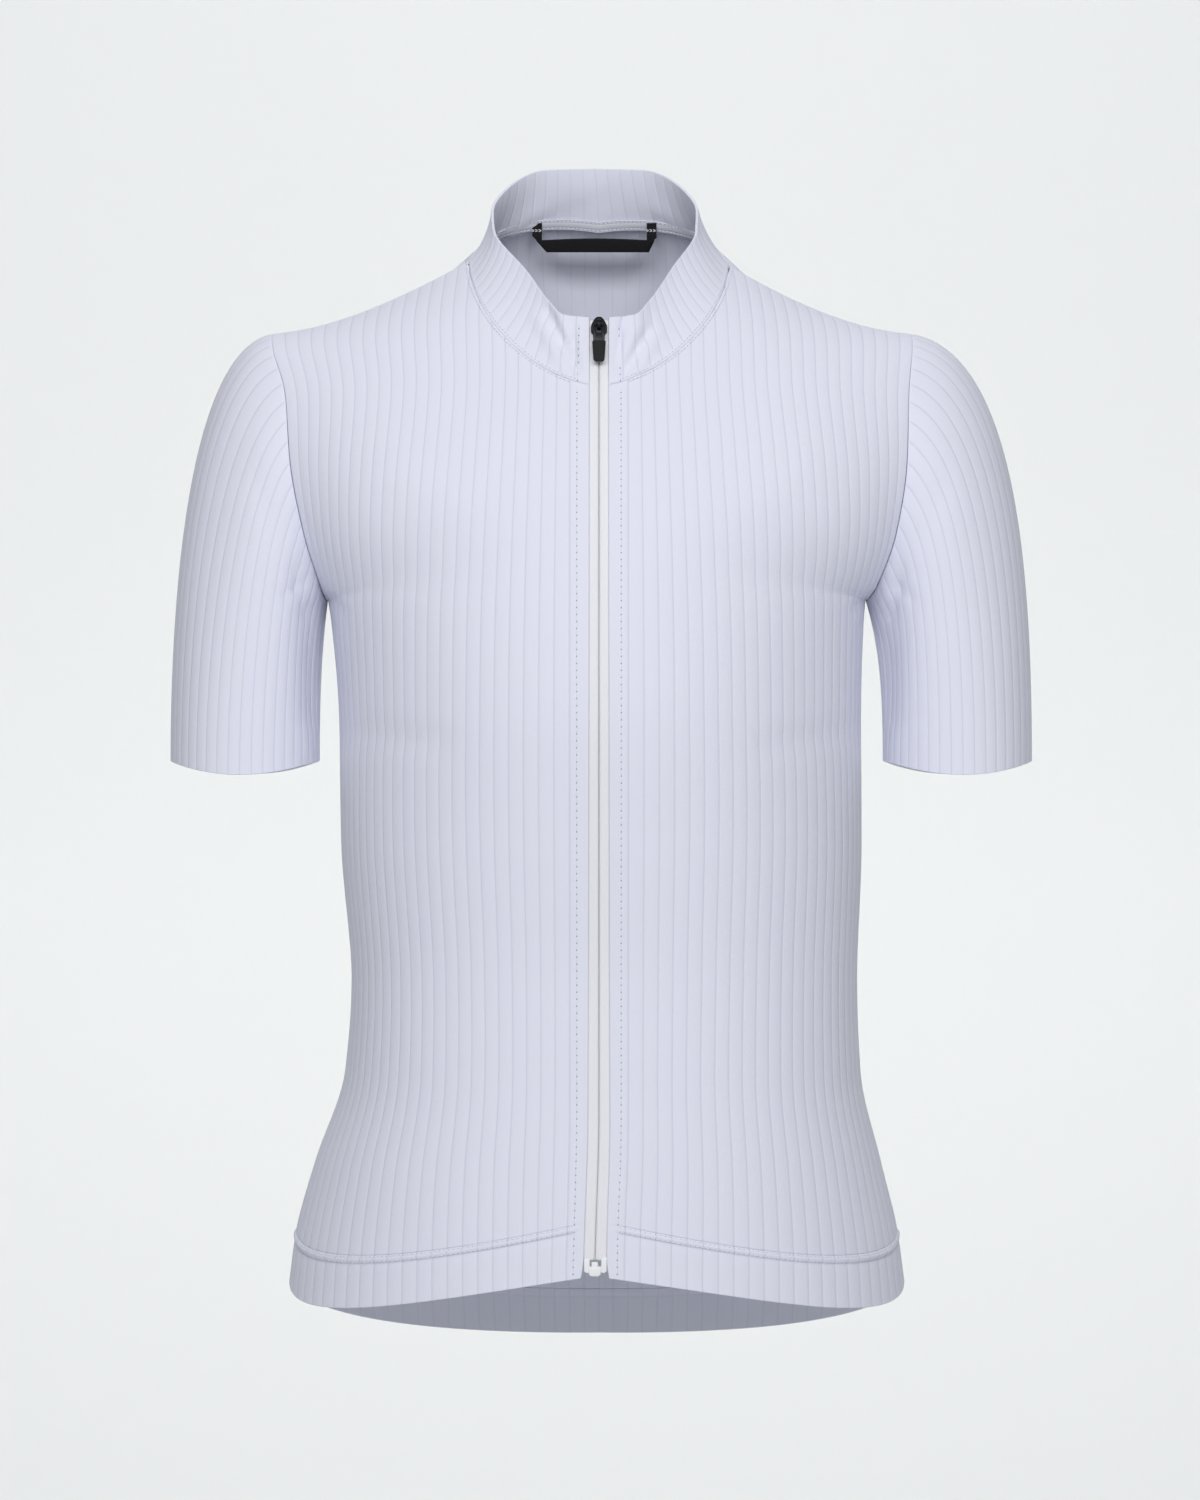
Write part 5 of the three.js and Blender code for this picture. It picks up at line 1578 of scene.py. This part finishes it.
class BackNeck:
    """The neck tape over the back neck seam, and the hang loop sewn in under its stitches."""

    TAPE_HIGH, TAPE_THICK, LEFT, RIGHT = 6.2, 0.6, 62.0, 60.0
    LOOP_LEFT, LOOP_RIGHT, WIDE, DROP, BAR, THICK = -35.3, 30.0, 5.6, 17.0, 7.4, 0.8
    LOOP_TOP, LOOP_LEAN = 3.2, 3.4

    def __init__(self, finishes: Finishes) -> None:
        self.finishes = finishes
        self.sewing = Sewing("back_neck_chainstitch")

    def build(self) -> list[Piece]:
        tape = self.tape()
        loop = self.loop()
        return [tape, loop, self.sewing.make(self.finishes)]

    @staticmethod
    def share_at(side: Side, x: float) -> float:
        """How far round the neckline, from the zip, the back of the neck is x away from the centre."""
        neck = COLLAR.necks[side]
        return float(bisect(lambda at: np.abs(neck.at(at)[..., 0]) > x, np.array(0.5), np.array(1.0)))

    def inside(self, share: Array, level: Array, off: float) -> tuple[Array, Array]:
        """Points on the inner face of the collar, moved inwards, and the inward normals."""
        points, normals = COLLAR.point(share, level), COLLAR.normal(share, level)
        return points - normals * (WALL + off), -normals

    def tape(self) -> Piece:
        shares = np.linspace(self.share_at(Side.RIGHT, self.LEFT) - 1, 1 - self.share_at(Side.LEFT, self.RIGHT), 70)
        heights = np.array([0.0, 0.12, 0.3, 0.6, 1.0, 1.6, 2.3, 3.1, 3.9, 4.6, 5.2, 5.6, 5.9, 6.08, 6.2])
        levels = heights / 38
        base, _ = self.inside(shares[None], levels[:, None], SEAM_GAP + self.TAPE_THICK)
        across = np.broadcast_to(distances(base[:1], 1), base.shape[:2])
        away = np.minimum(np.abs(heights - 1.0), np.abs(heights - 5.2))
        puff = 0.45 * (1 - np.exp(-((away / 0.7) ** 2)))[:, None]
        wave = 0.12 * np.sin(across / 2.1) * np.exp(-((heights - 5.9) ** 2) / 0.8)[:, None]
        uv = np.stack([across, np.broadcast_to(heights[:, None], across.shape)], -1)
        sheet = Sheet(base, puff + wave, np.zeros_like(across), uv, outward=np.array([0.0, 400.0, 0.0]))
        made = make_shell("neck_tape_cloth", sheet, self.finishes.neck_tape, (), self.TAPE_THICK, 0.28)
        for height in (1.0, 5.2):
            path, normals = self.inside(shares, np.full(shares.shape, height / 38), SEAM_GAP + self.TAPE_THICK)
            self.sewing.row(path + normals * 0.12, normals, 2.4, 0.26, 0.4, slant=0.25)
        return Piece(made, ("neck_tape",), "knit")

    def loop(self) -> Piece:
        """A black woven tape in a shallow U: two legs, folded at the corners over the ends of the bar."""
        neck = COLLAR.necks[Side.RIGHT]
        end = neck.at(self.share_at(Side.RIGHT, -self.LOOP_LEFT + self.WIDE / 2))
        top, front = end[2] + self.LOOP_TOP, end[1] - WALL - SEAM_GAP - self.TAPE_THICK
        plane = front - SEAM_GAP - self.LOOP_LEAN
        foot = top - self.DROP
        half = self.WIDE / 2
        left, right = self.LOOP_LEFT, self.LOOP_RIGHT
        pieces = []

        def strip(name: str, corners: Sequence[tuple[float, float]], out: Callable[[Array], Array], arch: float,
                  across: int, along: int) -> bpy.types.Object:
            u, v = np.meshgrid(np.linspace(0, 1, along), np.linspace(0, 1, across), indexing="ij")
            a, b, c, d = (np.array(corner) for corner in corners)
            flat = mix(mix(a, b, v[..., None]), mix(d, c, v[..., None]), u[..., None])
            rise = arch * np.sin(math.pi * u) * v
            base = xyz(flat[..., 0], out(flat[..., 1]), flat[..., 1] + rise)
            uv = np.stack([distances(base, 1), distances(base, 0)], -1)
            sheet = Sheet(base, 0.1 * np.sin(v * math.pi), np.zeros_like(u), uv, outward=np.array([0.0, 900.0, 0.0]))
            return make_shell(name, sheet, self.finishes.webbing, (), self.THICK, 0.3)

        def leg_out(z: Array) -> Array:
            return mix(front - 1.4, plane - 0.9, smooth(top - z, 1.0, 9.0))

        for name, sign, x, low in (("right", -1, left, 3.0), ("left", 1, right, 2.0)):
            inner, outer = x - sign * half, x + sign * half
            corners = [(outer, top), (inner, top), (inner, foot + low), (outer, foot + low + 6.5)]
            made = strip(f"hang_loop_leg_{name}", corners, leg_out, 0.0, 7, 16)
            pieces.append(Piece(made, (), "webbing"))
            for height, lean in ((top - 4.2, 0.5), (top - 5.0, -0.5)):
                xs = np.linspace(x - half - 1.2, x + half + 1.2, 16)
                path = xyz(xs, leg_out(np.full(16, height)) - 0.1 + 0.9 * smooth(np.abs(xs - x), half - 0.2, half + 1), height)
                self.sewing.row(path, np.broadcast_to([0.0, -1.0, 0.0], path.shape), 2.0, 0.24, 0.35, lean, False)
        corners = [
            (left - half + 8.2, foot), (left - half + 2.1, foot + self.BAR - 0.6),
            (right + half - 1.1, foot + self.BAR - 0.6), (right + half - 4.3, foot),
        ]
        made = strip("hang_loop_bar", corners, lambda z: np.full(z.shape, plane), 1.2, 9, 40)
        pieces.append(Piece(made, ("hang_loop",), "webbing"))
        self.legs = pieces[:-1]
        return pieces[-1]


# Setting


class Setting:
    """Floor, backdrop, lights and camera."""

    FRAME_HEIGHT = 0.84  # metres seen at the neck's distance
    DISTANCE = 3.0

    def build(self) -> None:
        self.backdrop()
        self.lights()
        self.camera()

    def backdrop(self) -> None:
        """A pale floor that curves up into a wall behind the jersey."""
        profile = [(-6.0, -1.3)] + [
            (1.6 + 0.9 * math.sin(a), -0.4 - 0.9 * math.cos(a)) for a in np.linspace(0, math.pi / 2, 12)
        ] + [(2.5, 4.5)]
        points = np.array([(x, y, z) for x in (-6.0, 6.0) for y, z in profile])
        count = len(profile)
        faces = [[i, i + 1, i + 1 + count, i + count] for i in range(count - 1)]
        nodes = Nodes("pale_studio_paper")
        coordinates = nodes.node("ShaderNodeTexCoord").outputs["Object"]
        # paper tooth of about 4 mm
        noise = nodes.node("ShaderNodeTexNoise", {"Vector": coordinates, "Scale": 250.0})
        nodes.set(Base_Color=linear("#eaeceb"), Roughness=0.9)
        nodes.bump(noise.outputs["Fac"], 0.1 * MM, 0.1)
        made = make_object("studio_floor", points / MM, faces, nodes.material)

    def area(self, name: str, place: Sequence[float], look: Sequence[float], size: tuple[float, float],
             power: float, colour: str = "#ffffff") -> None:
        """A soft rectangular light."""
        light = bpy.data.lights.new(name, "AREA")
        light.shape = "RECTANGLE"
        light.size, light.size_y = size
        light.energy = power
        light.color = linear(colour)[:3]
        made = bpy.data.objects.new(name, light)
        made.location = place
        way = np.array(look, float) - np.array(place, float)
        flat = math.hypot(way[0], way[1])
        made.rotation_euler = (math.atan2(flat, -way[2]), 0.0, math.atan2(-way[0], way[1]) if flat > 1e-6 else 0.0)
        bpy.context.scene.collection.objects.link(made)

    def lights(self) -> None:
        world = bpy.data.worlds.new("studio_world")
        world.use_nodes = True
        world.node_tree.nodes["Background"].inputs[0].default_value = linear("#e4e4ea")
        world.node_tree.nodes["Background"].inputs[1].default_value = 0.27
        bpy.context.scene.world = world
        bpy.context.scene.view_settings.view_transform = "Standard"
        self.area("front_softbox", (0.0, -2.6, 1.0), (0.0, 0.0, -0.25), (2.4, 1.0), 58.0)
        self.area("top_softbox", (0.0, -0.5, 2.2), (0.0, 0.0, 0.0), (1.6, 1.0), 5.0)
        self.area("wall_light_high", (0.0, 1.0, 1.9), (0.0, 2.5, -0.1), (3.6, 0.6), 27.0)
        self.area("wall_light_low", (0.0, 0.8, -1.25), (0.0, 2.5, -0.6), (3.6, 0.4), 27.0)

    def camera(self) -> None:
        camera = bpy.data.cameras.new("photo_camera")
        camera.sensor_fit = "VERTICAL"
        camera.sensor_height = 24.0
        camera.lens = 24.0 * self.DISTANCE / self.FRAME_HEIGHT
        camera.clip_end = 50.0
        made = bpy.data.objects.new("photo_camera", camera)
        made.location = (0.00056, -self.DISTANCE, -0.27328)
        made.rotation_euler = (math.pi / 2, 0.0, 0.0)
        bpy.context.scene.collection.objects.link(made)
        bpy.context.scene.camera = made


def main() -> None:
    """Builds the scene in order, attaches each piece to its body and hides the CAD parts that it stands for."""
    logging.basicConfig(level=logging.INFO, format="%(message)s")
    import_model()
    setting = Setting()
    setting.build()
    finishes = Finishes.make()
    pieces: list[Piece] = []
    pieces += TorsoCloth(finishes).build()
    for side in Side:
        pieces += SleeveCloth(side, finishes).build()
    pieces += CollarCloth(finishes).build()
    closure = Zip(finishes)
    pieces += closure.build()
    pieces += Stitching(finishes, closure.lines).build()
    back_neck = BackNeck(finishes)
    pieces += back_neck.build() + back_neck.legs
    for piece in pieces:
        piece.settle()


if __name__ == "__main__":
    main()
